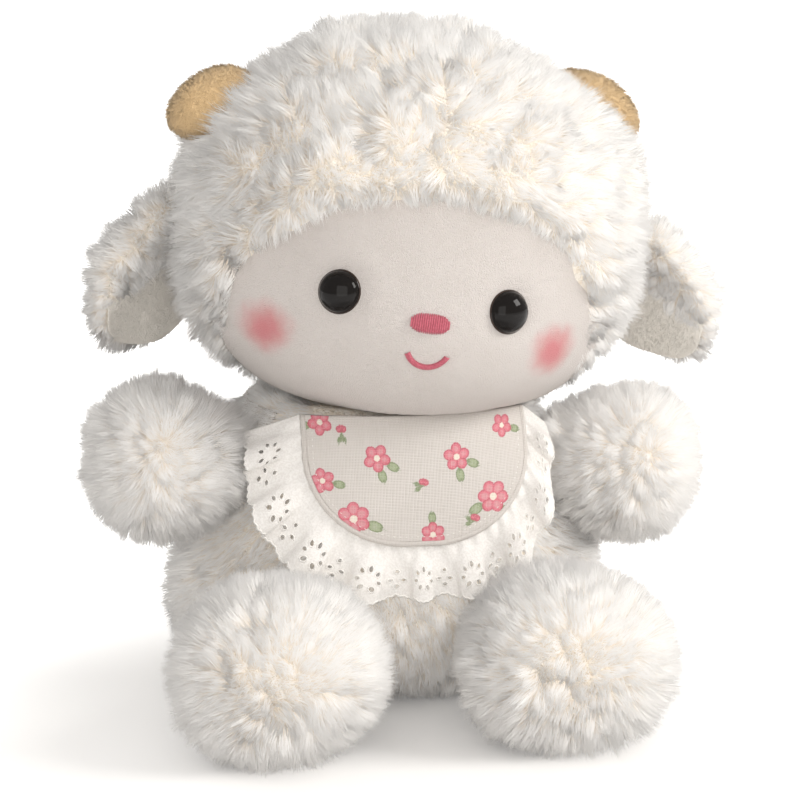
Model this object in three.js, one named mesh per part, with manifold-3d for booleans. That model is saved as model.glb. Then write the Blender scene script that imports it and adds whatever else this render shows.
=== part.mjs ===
// A seated plush sheep in millimetres. Z is up and the sheep faces -Y.
// The origin is on the flat underside of the torso, below the middle of the body.
// Each stuffed piece is a cloth cover with its pile, and a separate filling inside it.

import * as THREE from 'three';
import { mergeVertices } from 'three/addons/utils/BufferGeometryUtils.js';
import Module from 'manifold-3d';

const wasm = await Module();
wasm.setup();

// Clearances and cutter sizes
const SEAM_GAP = 0.35;
const FLEX_GAP = 0.6;
const CUT_OVERRUN = 60;
const SEAT_FLAT = 0.5;

// Cloths, each with its pile
const PLUSH_THICKNESS = 7;
const WOOL_THICKNESS = 10;
const BACKING_THICKNESS = 1;
const VELBOA_THICKNESS = 2.2;
const LINEN_THICKNESS = 0.9;
const LACE_THICKNESS = 0.9;

// Torso
const TORSO_HALF_WIDTH = 78;
const TORSO_HALF_DEPTH = 58;
const NECK_HEIGHT = 105;
const TORSO_CROWN = 17;
const TORSO_BACK_SHIFT = 4;
const NECK_FORWARD = 4;
const NECK_SIDE_SHIFT = 3;

// Head, measured up from the neck seam
const HEAD_RISE = 64;
const HOOD_HALF_WIDTH = 84;
const HOOD_HALF_DEPTH = 71;
const HOOD_HALF_HEIGHT = 66;
const CHIN_DROP = 0.6;
const FACE_HALF_WIDTH = 60;
const FACE_RISE = 41.5;
const FACE_DROP = 42;
const FACE_CENTRE_DROP = 28;
const FACE_PANEL_REACH = 12;
const MUZZLE_HALF_WIDTH = 40;
const MUZZLE_HALF_DEPTH = 28;
const MUZZLE_HALF_HEIGHT = 27;
const MUZZLE_FORWARD = 38;
const MUZZLE_DROP = 30;

// Wool tufts that swell from the hood, except round the horns, the ears and the jaw
const TUFT_PITCH = 24;
const TUFT_HEIGHT = 4.2;
const TUFT_FADE = 14;
const HORN_BARE_RADIUS = 22;
const EAR_BARE_RADIUS = 38;
const EAR_BARE_DROP = 22;
const JAW_BARE_HEIGHT = 26;

// Eyes, nose and mouth, measured down from the middle of the head
const FACE_SHIFT = -2.8;
const EYE_SPACING = 57.5;
const EYE_DROP = 21;
const EYE_RADIUS = 7.2;
const EYE_DOME_HEIGHT = 4.2;
const EYE_RIM_HEIGHT = 1;
const EYE_PRESS = 1;
const EYE_POST_RADIUS = 1.9;
const EYE_POST_LENGTH = 14;
const EYE_POST_RIDGE = 0.35;
const WASHER_RADIUS = 5.6;
const WASHER_THICKNESS = 1.2;
const WASHER_SEAT = 1.85;
const NOSE_WIDTH = 13.4;
const NOSE_HEIGHT = 6.6;
const NOSE_CORNER = 2.8;
const NOSE_DROP = 27;
const NOSE_SHIFT = 1.6;
const STITCH_THICKNESS = 1;
const MOUTH_WIDTH = 14;
const MOUTH_SAG = 4.6;
const MOUTH_LINE = 1.8;
const MOUTH_DROP = 42;
const MOUTH_SHIFT = 2.3;

// Horns
const HORN_LENGTH = 34;
const HORN_RADIUS = 11;
const HORN_BEND_RADIUS = 20;
const HORN_CLOTH_THICKNESS = 1.6;
const LEFT_HORN_REACH = 59;
const LEFT_HORN_RISE = 33.5;
const RIGHT_HORN_REACH = 45;
const RIGHT_HORN_RISE = 41.5;
const HORN_BACK_SHIFT = 2;

// Ears
const EAR_LENGTH = 60;
const EAR_WIDTH = 50;
const EAR_THICKNESS = 19;
const EAR_CUP_RADIUS = 110;
const EAR_CUP_DEPTH = 6;
const EAR_LINING_MARGIN = 4;
const EAR_ROOT_INSET = 3;
const EAR_ROOT_RISE = 0.5;
const EAR_ROOT_BACK_SHIFT = 2;

// Arms
const ARM_LENGTH = 59;
const ARM_RADIUS = 27;
const SHOULDER_HALF_SPAN = 50;
const SHOULDER_DROP = 20;
const SHOULDER_FORWARD = 14;

// Legs
const LEG_LENGTH = 83;
const LEG_HALF_WIDTH = 34.6;
const LEG_HALF_HEIGHT = 29.2;
const HIP_HALF_SPAN = 43;
const HIP_FORWARD = 33;

// Bib
const BIB_SIDE_SHIFT = 4.8;
const BIB_DROP = 41;
const BIB_HALF_WIDTH = 37.6;
const BIB_CORNER_WIDTH = 33;
const BIB_CORNER_HEIGHT = 29;
const BIB_STAND_OFF = 0.6;
const BINDING_RADIUS = 1.1;
const LACE_WIDTH = 16.6;
const LACE_FOLD_DEPTH = 4.4;
const LACE_FOLD_PITCH = 15;
const STRAP_WIDTH = 7;
const STRAP_THICKNESS = 1.2;
const STRAP_DROP = 2;
const STRAP_OVERLAP = 12;
const SNAP_RADIUS = 3.2;
const SNAP_THICKNESS = 1.1;

// Angles in degrees
const HEAD_ROLL_DEGREES = 5;
const FACE_LEAN_DEGREES = 2.8;
const LEFT_HORN_TURN_DEGREES = 30;
const RIGHT_HORN_TURN_DEGREES = 8;
const HORN_TILT_DEGREES = 62;
const EAR_TURN_DEGREES = 48;
const LEFT_EAR_FLARE_DEGREES = 22;
const RIGHT_EAR_FLARE_DEGREES = 36;
const LEFT_ARM_FORWARD_TURN_DEGREES = 20;
const RIGHT_ARM_FORWARD_TURN_DEGREES = 13;
const LEFT_ARM_DROP_DEGREES = -5;
const RIGHT_ARM_DROP_DEGREES = 7;
const LEFT_LEG_TURN_DEGREES = 5;
const RIGHT_LEG_TURN_DEGREES = 7;
const EAR_LIFT_DEGREES = 30;
const EAR_SINK_DEGREES = 4;
const ARM_LIFT_DEGREES = 14;
const ARM_SINK_DEGREES = 8;
const LEG_SPLAY_DEGREES = 14;
const LEG_CLOSE_DEGREES = 2;

// Outline shares, from the lowest or innermost end of a form to the other end.
// Each row is half width, half depth and height.
const TORSO_SHARES = [
  [0, 0, 0],
  [0.58, 0.58, 0.004],
  [0.87, 0.87, 0.05],
  [0.98, 0.98, 0.15],
  [1, 1, 0.27],
  [0.965, 0.985, 0.42],
  [0.89, 0.94, 0.57],
  [0.79, 0.88, 0.7],
  [0.69, 0.81, 0.81],
  [0.5, 0.6, 0.92],
  [0, 0, 1],
];
const ARM_SHARES = [
  [0, 0, 0],
  [0.42, 0.42, 0.05],
  [0.6, 0.6, 0.2],
  [0.88, 0.88, 0.4],
  [1, 1, 0.6],
  [0.92, 0.92, 0.78],
  [0.6, 0.6, 0.94],
  [0, 0, 1],
];
const LEG_SHARES = [
  [0, 0, 0],
  [0.4, 0.42, 0.04],
  [0.62, 0.68, 0.16],
  [0.76, 0.8, 0.32],
  [0.93, 0.95, 0.48],
  [1, 1, 0.63],
  [0.94, 0.95, 0.79],
  [0.64, 0.66, 0.94],
  [0, 0, 1],
];
const EAR_SHARES = [
  [0, 0, 0],
  [0.5, 0.42, 0.04],
  [0.8, 0.68, 0.2],
  [0.98, 0.93, 0.42],
  [1, 1, 0.62],
  [0.9, 0.86, 0.82],
  [0.5, 0.5, 0.96],
  [0, 0, 1],
];
const HORN_SHARES = [
  [0, 0, 0],
  [0.7, 0.7, 0.05],
  [1, 1, 0.25],
  [0.98, 0.98, 0.5],
  [0.86, 0.86, 0.75],
  [0.55, 0.55, 0.94],
  [0, 0, 1],
];
const JAW_POWER_SHARE = 2.85;
const CROWN_POWER_SHARE = 2.1;
const TUFT_REACH_SHARE = 0.75;
const TUFT_VARIATION_SHARE = 0.4;
const BIB_TOP_SPREAD_SHARE = 1.25;
const BIB_BOTTOM_SPREAD_SHARE = 1.45;
const LEFT_LACE_FLARE_SHARE = 0.95;
const RIGHT_LACE_FLARE_SHARE = 0.5;
const LACE_HANG_SHARE = 0.4;
const RIDGE_START_SHARE = 0.5;

// Steps of the turned and lofted shapes
const SWEEP_STEPS = 3;
const FINE_STEPS = 200;
const CURVE_STEPS = 6;
const OUTLINE_STEPS = 28;
const ROUND_SIDES = 14;
const POST_SIDES = 10;
const BALL_SIDES = 48;
const BALL_RINGS = 24;

const UP = new THREE.Vector3(0, 0, 1);
const FRONT_AXIS = new THREE.Vector3(0, 1, 0);

// Finishes
const finishes = {
  plush: cloth(0xf3efe9, 0.95),
  wool: cloth(0xf4f0ea, 0.97),
  velboa: cloth(0xf4eee8, 0.9),
  hornCloth: cloth(0xeccb98, 0.9),
  earCloth: cloth(0xe9dfd0, 0.92),
  filling: cloth(0xffffff, 1),
  linen: cloth(0xefe6da, 0.85),
  lace: cloth(0xf8f5ef, 0.85),
  thread: cloth(0xd8738a, 0.6),
  eyePlastic: cloth(0x0d0a09, 0.08),
  washerPlastic: cloth(0xe8e6e2, 0.5),
  snapPlastic: cloth(0xf0ede8, 0.4),
};

function cloth(color, roughness) {
  return new THREE.MeshStandardMaterial({ color, roughness, metalness: 0 });
}

function radians(degrees) {
  return THREE.MathUtils.degToRad(degrees);
}

// Solids, joins and cuts

function solidOf(geometry) {
  const bare = new THREE.BufferGeometry();
  bare.setAttribute('position', geometry.getAttribute('position'));
  bare.setIndex(geometry.getIndex());
  const merged = mergeVertices(bare);
  return new wasm.Manifold(new wasm.Mesh({
    numProp: 3,
    vertProperties: new Float32Array(merged.attributes.position.array),
    triVerts: new Uint32Array(merged.index.array),
  }));
}

function geometryOf(solid) {
  const mesh = solid.getMesh();
  const positions = new Float32Array(mesh.numVert * 3);
  for (let i = 0; i < mesh.numVert; i++) {
    const start = i * mesh.numProp;
    positions.set(mesh.vertProperties.subarray(start, start + 3), i * 3);
  }
  const geometry = new THREE.BufferGeometry();
  geometry.setAttribute('position', new THREE.BufferAttribute(positions, 3));
  geometry.setIndex(new THREE.BufferAttribute(new Uint32Array(mesh.triVerts), 1));
  geometry.computeVertexNormals();
  return geometry;
}

function moved(solid, matrix) {
  return solid.transform(matrix.elements);
}

function shifted(solid, x, y, z) {
  return moved(solid, new THREE.Matrix4().makeTranslation(x, y, z));
}

function boxBetween(low, high) {
  const size = high.clone().sub(low);
  const middle = low.clone().add(high).multiplyScalar(1 / 2);
  const box = new THREE.BoxGeometry(size.x, size.y, size.z);
  return shifted(solidOf(box), middle.x, middle.y, middle.z);
}

const CUT_REACH = TORSO_HALF_WIDTH + HOOD_HALF_WIDTH + CUT_OVERRUN;

function layer(low, high) {
  return boxBetween(
    new THREE.Vector3(-CUT_REACH, -CUT_REACH, low),
    new THREE.Vector3(CUT_REACH, CUT_REACH, high),
  );
}

function place(name, solid, finish, parent) {
  const mesh = new THREE.Mesh(geometryOf(solid), finish);
  mesh.name = name;
  parent.add(mesh);
  return mesh;
}

// Lofted forms

// A closed skin through rings of points, with a point at each end.
function loft(rings, start, end) {
  const count = rings[0].length;
  const points = [start, ...rings.flat(), end];
  const last = points.length - 1;
  const faces = [];
  for (let j = 0; j < count; j++) {
    const next = (j + 1) % count;
    faces.push([0, 1 + next, 1 + j]);
    const top = 1 + (rings.length - 1) * count;
    faces.push([last, top + j, top + next]);
    for (let i = 0; i + 1 < rings.length; i++) {
      const low = 1 + i * count;
      const high = low + count;
      faces.push([low + j, low + next, high + next]);
      faces.push([low + j, high + next, high + j]);
    }
  }
  const geometry = new THREE.BufferGeometry().setFromPoints(points);
  geometry.setIndex(faces.flat());
  return geometry;
}

// A profile through hand-chosen rows of shares.
function rowProfile(rows) {
  const points = rows.map((row) => new THREE.Vector3(...row));
  const curve = new THREE.CatmullRomCurve3(points, false, 'centripetal');
  return (share) => {
    const at = curve.getPoint(share);
    return { width: at.x, depth: at.y, height: at.z };
  };
}

// A round profile, fuller below or above as its powers say.
function roundProfile(lowPower, highPower) {
  return (share) => {
    const rise = -Math.cos(Math.PI * share);
    const power = rise < 0 ? lowPower : highPower;
    const radius = Math.pow(Math.sin(Math.PI * share), 2 / power);
    const height = Math.sign(rise) * Math.pow(Math.abs(rise), 2 / power);
    return { width: radius, depth: radius, height: (1 + height) / 2 };
  };
}

// A stuffed form on the Z axis, swollen or shrunk by a set thickness.
function stuffedForm(form, grow = 0) {
  const rings = [];
  for (let i = 1; i < form.rings; i++) {
    const at = form.profile(i / form.rings);
    const ring = [];
    for (let j = 0; j < form.around; j++) {
      const angle = (2 * Math.PI * j) / form.around;
      ring.push(new THREE.Vector3(
        (form.halfWidth + grow) * at.width * Math.cos(angle),
        (form.halfDepth + grow) * at.depth * Math.sin(angle),
        form.base - grow + (form.height + 2 * grow) * at.height,
      ));
    }
    rings.push(ring);
  }
  const start = new THREE.Vector3(0, 0, form.base - grow);
  const end = new THREE.Vector3(0, 0, form.base + form.height + grow);
  return loft(rings, start, end);
}

// Half width and half depth of a form at a height.
function sectionAt(form, height) {
  const share = (height - form.base) / form.height;
  let low = form.profile(0);
  for (let i = 1; i <= FINE_STEPS; i++) {
    const high = form.profile(i / FINE_STEPS);
    if (high.height >= share) {
      const part = (share - low.height) / (high.height - low.height);
      return {
        width: form.halfWidth * THREE.MathUtils.lerp(low.width, high.width, part),
        depth: form.halfDepth * THREE.MathUtils.lerp(low.depth, high.depth, part),
      };
    }
    low = high;
  }
  return { width: 0, depth: 0 };
}

// How far forward the front of a form stands at a place, or zero beside it.
function frontOf(form, x, height, grow = 0) {
  const section = sectionAt(form, height);
  const share = x / (section.width + grow);
  if (section.width === 0 || Math.abs(share) >= 1) {
    return 0;
  }
  return (section.depth + grow) * Math.sqrt(1 - share * share);
}

// Prisms that run forward, towards -Y

function forwardPrism(shape, from, to) {
  const geometry = new THREE.ExtrudeGeometry(shape, {
    depth: to - from,
    bevelEnabled: false,
    curveSegments: CURVE_STEPS,
  });
  geometry.translate(0, 0, from);
  geometry.rotateX(Math.PI / 2);
  return solidOf(geometry);
}

// Turning a solid about a line, as a joint does

function turnAbout(pivot, axis, degrees) {
  const back = new THREE.Matrix4().makeTranslation(-pivot.x, -pivot.y, -pivot.z);
  const turn = new THREE.Matrix4().makeRotationAxis(axis, radians(degrees));
  const there = new THREE.Matrix4().makeTranslation(pivot.x, pivot.y, pivot.z);
  return there.multiply(turn).multiply(back);
}

// A limb cut back so that it stays clear of an obstacle over its whole swing.
// The limb is in its own frame, and the obstacle, pivot and axis in the frame outside.
function clearOfSwing(limb, frame, obstacle, pivot, axis, low, high) {
  const inward = frame.clone().invert();
  let cut = limb;
  for (let i = 0; i <= SWEEP_STEPS; i++) {
    const angle = THREE.MathUtils.lerp(low, high, i / SWEEP_STEPS);
    const turned = inward.clone().multiply(turnAbout(pivot, axis, -angle));
    cut = cut.subtract(moved(obstacle, turned));
  }
  return cut;
}

// Torso

const torsoForm = {
  profile: rowProfile(TORSO_SHARES),
  halfWidth: TORSO_HALF_WIDTH,
  halfDepth: TORSO_HALF_DEPTH,
  height: SEAT_FLAT + NECK_HEIGHT + TORSO_CROWN,
  base: -SEAT_FLAT,
  rings: 12,
  around: 26,
};

function torsoSolid(grow, detail = torsoForm) {
  return shifted(solidOf(stuffedForm(detail, grow)), 0, TORSO_BACK_SHIFT, 0);
}

function buildTorso(group) {
  const innerForm = { ...torsoForm, rings: 8, around: 16 };
  const belowNeck = layer(0, NECK_HEIGHT - FLEX_GAP / 2);
  const outer = torsoSolid(0).intersect(belowNeck);
  const cover = outer.subtract(torsoSolid(-PLUSH_THICKNESS, innerForm));
  const filling = torsoSolid(-PLUSH_THICKNESS - SEAM_GAP, innerForm).intersect(belowNeck);
  place('torso_cover', cover, finishes.plush, group);
  place('torso_stuffing', filling, finishes.filling, group);
  return outer;
}

// Head

const headPivot = new THREE.Vector3(NECK_SIDE_SHIFT, -NECK_FORWARD, NECK_HEIGHT);

const hoodForm = {
  profile: roundProfile(JAW_POWER_SHARE, CROWN_POWER_SHARE),
  halfWidth: HOOD_HALF_WIDTH,
  halfDepth: HOOD_HALF_DEPTH,
  height: 2 * HOOD_HALF_HEIGHT,
  base: HEAD_RISE - HOOD_HALF_HEIGHT,
  rings: 24,
  around: 52,
};

const skullForm = {
  profile: roundProfile(JAW_POWER_SHARE, CROWN_POWER_SHARE),
  halfWidth: HOOD_HALF_WIDTH - WOOL_THICKNESS,
  halfDepth: HOOD_HALF_DEPTH - WOOL_THICKNESS,
  height: 2 * HOOD_HALF_HEIGHT - WOOL_THICKNESS + CHIN_DROP,
  base: HEAD_RISE - HOOD_HALF_HEIGHT - CHIN_DROP,
  rings: 11,
  around: 22,
};

const muzzleForm = {
  profile: roundProfile(2, 2),
  halfWidth: MUZZLE_HALF_WIDTH,
  halfDepth: MUZZLE_HALF_DEPTH,
  height: 2 * MUZZLE_HALF_HEIGHT,
  base: HEAD_RISE - MUZZLE_DROP - MUZZLE_HALF_HEIGHT,
  rings: 8,
  around: 18,
};

const hoodMiddle = new THREE.Vector3(0, 0, HEAD_RISE);
const hoodRadius = (HOOD_HALF_WIDTH + HOOD_HALF_DEPTH + HOOD_HALF_HEIGHT) / 3;

function hornRoot(side) {
  const reach = side < 0 ? LEFT_HORN_REACH : RIGHT_HORN_REACH;
  const rise = side < 0 ? LEFT_HORN_RISE : RIGHT_HORN_RISE;
  return new THREE.Vector3(side * reach, HORN_BACK_SHIFT, HEAD_RISE + rise);
}

// Places on the hood where the wool lies flat.
function bareSpots() {
  return [-1, 1].flatMap((side) => [
    { middle: hornRoot(side), radius: HORN_BARE_RADIUS },
    {
      middle: new THREE.Vector3(side * HOOD_HALF_WIDTH, EAR_ROOT_BACK_SHIFT, HEAD_RISE - EAR_BARE_DROP),
      radius: EAR_BARE_RADIUS,
    },
  ]);
}

// Tufts spread evenly over the hood, on a spiral that turns by the golden angle.
function woolTufts() {
  const count = Math.round(4 * Math.PI * (hoodRadius / TUFT_PITCH) ** 2);
  const goldenAngle = Math.PI * (3 - Math.sqrt(5));
  return Array.from({ length: count }, (_, i) => {
    const rise = 1 - (2 * i + 1) / count;
    const ring = Math.sqrt(1 - rise * rise);
    const angle = i * goldenAngle;
    const height = TUFT_HEIGHT * (1 - TUFT_VARIATION_SHARE * Math.sin(i) ** 2);
    const way = new THREE.Vector3(ring * Math.cos(angle), ring * Math.sin(angle), rise);
    return { way, height };
  });
}

// The hood's skin with each tuft swollen out of it.
function woolly(geometry) {
  const { smoothstep } = THREE.MathUtils;
  const tufts = woolTufts();
  const spots = bareSpots();
  const position = geometry.getAttribute('position');
  const point = new THREE.Vector3();
  for (let i = 0; i < position.count; i++) {
    point.fromBufferAttribute(position, i);
    const way = point.clone().sub(hoodMiddle).normalize();
    const away = (tuft) => tuft.way.distanceTo(way) * hoodRadius;
    const nearest = tufts.reduce((best, tuft) => (away(tuft) < away(best) ? tuft : best));
    let rise = nearest.height * Math.max(0, 1 - (away(nearest) / (TUFT_REACH_SHARE * TUFT_PITCH)) ** 2);
    rise *= smoothstep(point.z, JAW_BARE_HEIGHT, JAW_BARE_HEIGHT + TUFT_FADE);
    for (const spot of spots) {
      rise *= smoothstep(point.distanceTo(spot.middle), spot.radius, spot.radius + TUFT_FADE);
    }
    point.addScaledVector(way, rise);
    position.setXYZ(i, point.x, point.y, point.z);
  }
  return geometry;
}

// The skull with its muzzle, swollen by a set thickness.
function skinSolid(grow) {
  const skull = solidOf(stuffedForm(skullForm, grow));
  const muzzle = solidOf(stuffedForm(muzzleForm, grow));
  return skull.add(shifted(muzzle, 0, -MUZZLE_FORWARD, 0));
}

// The face's front at a place, as a point on the outside of the short pile.
function facePoint(x, height) {
  const skull = frontOf(skullForm, x, height, VELBOA_THICKNESS);
  const muzzle = frontOf(muzzleForm, x, height, VELBOA_THICKNESS);
  const front = Math.max(skull, muzzle > 0 ? muzzle + MUZZLE_FORWARD : 0);
  return new THREE.Vector3(x, -front, height);
}

function faceNormal(x, height, reach) {
  const across = facePoint(x + reach, height).sub(facePoint(x - reach, height));
  const upward = facePoint(x, height + reach).sub(facePoint(x, height - reach));
  return across.cross(upward).normalize();
}

// A place on the leaning face, from its offsets across and down.
function faceOffset(across, drop) {
  const lean = radians(-FACE_LEAN_DEGREES);
  const offset = new THREE.Vector2(across, -drop).rotateAround(new THREE.Vector2(0, -EYE_DROP), lean);
  return new THREE.Vector2(FACE_SHIFT + offset.x, HEAD_RISE + offset.y);
}

function faceOutline(grow) {
  const shape = new THREE.Shape();
  for (let i = 0; i < OUTLINE_STEPS; i++) {
    const angle = (2 * Math.PI * i) / OUTLINE_STEPS;
    const side = Math.cos(angle);
    const rise = Math.sin(angle);
    const power = rise > 0 ? 2 : JAW_POWER_SHARE;
    const reachAcross = (FACE_HALF_WIDTH + grow) * Math.sign(side);
    const x = FACE_SHIFT + reachAcross * Math.pow(Math.abs(side), 2 / power);
    const reach = rise > 0 ? FACE_RISE : FACE_DROP;
    const y = (reach + grow) * Math.sign(rise) * Math.pow(Math.abs(rise), 2 / power);
    const z = HEAD_RISE - FACE_CENTRE_DROP + y;
    if (i === 0) {
      shape.moveTo(x, z);
    } else {
      shape.lineTo(x, z);
    }
  }
  shape.closePath();
  return shape;
}

function eyePlace(side) {
  const at = faceOffset((side * EYE_SPACING) / 2, EYE_DROP);
  const normal = faceNormal(at.x, at.y, EYE_RADIUS);
  const point = facePoint(at.x, at.y).addScaledVector(normal, -EYE_PRESS);
  const turn = new THREE.Quaternion().setFromUnitVectors(UP, normal);
  return new THREE.Matrix4().compose(point, turn, new THREE.Vector3(1, 1, 1));
}

// A turned solid on the Z axis, from a profile of radius and height.
function turned(profile, around) {
  const points = profile.map(([radius, height]) => new THREE.Vector2(radius, height));
  return solidOf(new THREE.LatheGeometry(points, around).rotateX(Math.PI / 2));
}

function eyeProfile() {
  const profile = [[0, -EYE_POST_LENGTH], [EYE_POST_RADIUS - EYE_POST_RIDGE, -EYE_POST_LENGTH]];
  const ridges = 2;
  for (let i = 0; i < ridges; i++) {
    const low = -EYE_POST_LENGTH + ((i + RIDGE_START_SHARE) * EYE_POST_LENGTH) / (ridges + 1);
    profile.push([EYE_POST_RADIUS, low]);
    profile.push([EYE_POST_RADIUS - EYE_POST_RIDGE, low + EYE_POST_RIDGE]);
  }
  profile.push([EYE_POST_RADIUS, 0], [EYE_RADIUS, 0]);
  const steps = 4;
  for (let i = 0; i < steps; i++) {
    const angle = (Math.PI * i) / (2 * steps);
    profile.push([EYE_RADIUS * Math.cos(angle), EYE_RIM_HEIGHT + EYE_DOME_HEIGHT * Math.sin(angle)]);
  }
  profile.push([0, EYE_RIM_HEIGHT + EYE_DOME_HEIGHT]);
  return profile;
}

function plug(radius, low, high, around) {
  return turned([[0, low], [radius, low], [radius, high], [0, high]], around);
}

function washer() {
  const hole = EYE_POST_RADIUS + SEAM_GAP;
  const top = EYE_PRESS - VELBOA_THICKNESS - WASHER_SEAT;
  const low = top - WASHER_THICKNESS;
  return turned([[hole, low], [WASHER_RADIUS, low], [WASHER_RADIUS, top], [hole, top], [hole, low]], ROUND_SIDES);
}

// The room that an eye, its post and its washer need in the cloth and in the filling.
function eyeRoom() {
  const dome = plug(EYE_RADIUS + SEAM_GAP, -SEAM_GAP, CUT_OVERRUN, ROUND_SIDES);
  const post = plug(EYE_POST_RADIUS + SEAM_GAP, -EYE_POST_LENGTH - SEAM_GAP, 0, POST_SIDES);
  return dome.add(post);
}

function washerRoom() {
  const low = EYE_PRESS - VELBOA_THICKNESS - WASHER_SEAT - WASHER_THICKNESS - SEAM_GAP;
  return plug(WASHER_RADIUS + SEAM_GAP, low, CUT_OVERRUN, ROUND_SIDES);
}

function stitched(shape) {
  const low = VELBOA_THICKNESS + SEAM_GAP;
  const thickness = skinSolid(low + STITCH_THICKNESS).subtract(skinSolid(low));
  return thickness.intersect(forwardPrism(shape, HOOD_HALF_DEPTH / 2, HOOD_HALF_DEPTH + CUT_OVERRUN));
}

function noseShape() {
  const at = faceOffset(NOSE_SHIFT, NOSE_DROP);
  const x = NOSE_WIDTH / 2;
  const y = NOSE_HEIGHT / 2;
  const shape = new THREE.Shape();
  shape.absarc(at.x + x - NOSE_CORNER, at.y + y - NOSE_CORNER, NOSE_CORNER, 0, Math.PI / 2);
  shape.absarc(at.x - x + NOSE_CORNER, at.y + y - NOSE_CORNER, NOSE_CORNER, Math.PI / 2, Math.PI);
  shape.absarc(at.x - x + NOSE_CORNER, at.y - y + NOSE_CORNER, NOSE_CORNER, Math.PI, 1.5 * Math.PI);
  shape.absarc(at.x + x - NOSE_CORNER, at.y - y + NOSE_CORNER, NOSE_CORNER, 1.5 * Math.PI, 2 * Math.PI);
  shape.closePath();
  return shape;
}

function mouthShape() {
  const at = faceOffset(MOUTH_SHIFT, MOUTH_DROP);
  const radius = (MOUTH_WIDTH ** 2 / 4 + MOUTH_SAG ** 2) / (2 * MOUTH_SAG);
  const half = Math.asin(MOUTH_WIDTH / (2 * radius));
  const centre = at.y + radius;
  const start = -Math.PI / 2 - half;
  const end = -Math.PI / 2 + half;
  const shape = new THREE.Shape();
  shape.absarc(at.x, centre, radius + MOUTH_LINE / 2, start, end, false);
  shape.absarc(at.x, centre, radius - MOUTH_LINE / 2, end, start, true);
  shape.closePath();
  return shape;
}

function buildHead(group) {
  group.position.copy(headPivot);
  group.rotation.y = radians(HEAD_ROLL_DEGREES);
  group.updateMatrixWorld(true);
  const inward = group.matrixWorld.clone().invert();
  const belowHead = moved(layer(-CUT_REACH, NECK_HEIGHT + FLEX_GAP / 2), inward);
  const hood = solidOf(woolly(stuffedForm(hoodForm)));
  const skin = skinSolid(0);
  const faceFrom = FACE_PANEL_REACH;
  const faceTo = HOOD_HALF_DEPTH + CUT_OVERRUN;
  const faceHole = forwardPrism(faceOutline(SEAM_GAP), faceFrom, faceTo);
  const facePrism = forwardPrism(faceOutline(0), faceFrom + SEAM_GAP, faceTo);
  const rooms = [-1, 1].map((side) => moved(eyeRoom(), eyePlace(side)));
  const washerRooms = [-1, 1].map((side) => moved(washerRoom(), eyePlace(side)));

  let cover = hood.add(solidOf(stuffedForm(skullForm, BACKING_THICKNESS)));
  cover = cover.subtract(skin).subtract(faceHole).subtract(belowHead);
  let panel = skinSolid(VELBOA_THICKNESS).subtract(skin).intersect(facePrism).subtract(belowHead);
  let filling = skinSolid(-SEAM_GAP).subtract(belowHead);
  for (const room of rooms) {
    panel = panel.subtract(room);
    filling = filling.subtract(room);
  }
  for (const room of washerRooms) {
    filling = filling.subtract(room);
  }
  place('head_cover', cover, finishes.wool, group);
  place('face_panel', panel, finishes.velboa, group);
  place('head_stuffing', filling, finishes.filling, group);
  place('nose_embroidery', stitched(noseShape()), finishes.thread, group);
  place('mouth_embroidery', stitched(mouthShape()), finishes.thread, group);
  for (const side of [-1, 1]) {
    const word = side < 0 ? 'left' : 'right';
    const seat = new THREE.Group();
    seat.applyMatrix4(eyePlace(side));
    group.add(seat);
    place(`${word}_eye`, turned(eyeProfile(), ROUND_SIDES), finishes.eyePlastic, seat);
    place(`${word}_eye_washer`, washer(), finishes.washerPlastic, seat);
  }
}

// Horns

// A form on the Z axis bent round a centre that lies a set distance to one side.
function bent(geometry, radius, side) {
  const position = geometry.getAttribute('position');
  for (let i = 0; i < position.count; i++) {
    const angle = position.getZ(i) / radius;
    const reach = radius - side * position.getX(i);
    position.setX(i, side * (radius - reach * Math.cos(angle)));
    position.setZ(i, reach * Math.sin(angle));
  }
  return geometry;
}

function buildHorn(group, side) {
  const word = side < 0 ? 'left' : 'right';
  const turn = side < 0 ? LEFT_HORN_TURN_DEGREES : RIGHT_HORN_TURN_DEGREES;
  const base = new THREE.Group();
  base.position.copy(hornRoot(side));
  base.rotation.z = radians(-side * turn);
  group.add(base);
  const horn = new THREE.Group();
  horn.rotation.y = radians(side * HORN_TILT_DEGREES);
  base.add(horn);
  base.updateMatrix();
  horn.updateMatrix();
  const inward = base.matrix.clone().multiply(horn.matrix).invert();
  const form = {
    profile: rowProfile(HORN_SHARES),
    halfWidth: HORN_RADIUS,
    halfDepth: HORN_RADIUS,
    height: HORN_LENGTH,
    base: 0,
    rings: 9,
    around: 12,
  };
  const innerForm = { ...form, rings: 7, around: 8 };
  const hornSolid = (detail, grow) => solidOf(bent(stuffedForm(detail, grow), HORN_BEND_RADIUS, side));
  const swollenHead = moved(solidOf(woolly(stuffedForm(hoodForm, SEAM_GAP))), inward);
  const cover = hornSolid(form, 0).subtract(hornSolid(innerForm, -HORN_CLOTH_THICKNESS));
  const filling = hornSolid(innerForm, -HORN_CLOTH_THICKNESS - SEAM_GAP);
  place(`${word}_horn_cover`, cover.subtract(swollenHead), finishes.hornCloth, horn);
  place(`${word}_horn_stuffing`, filling.subtract(swollenHead), finishes.filling, horn);
}

// Ears

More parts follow.
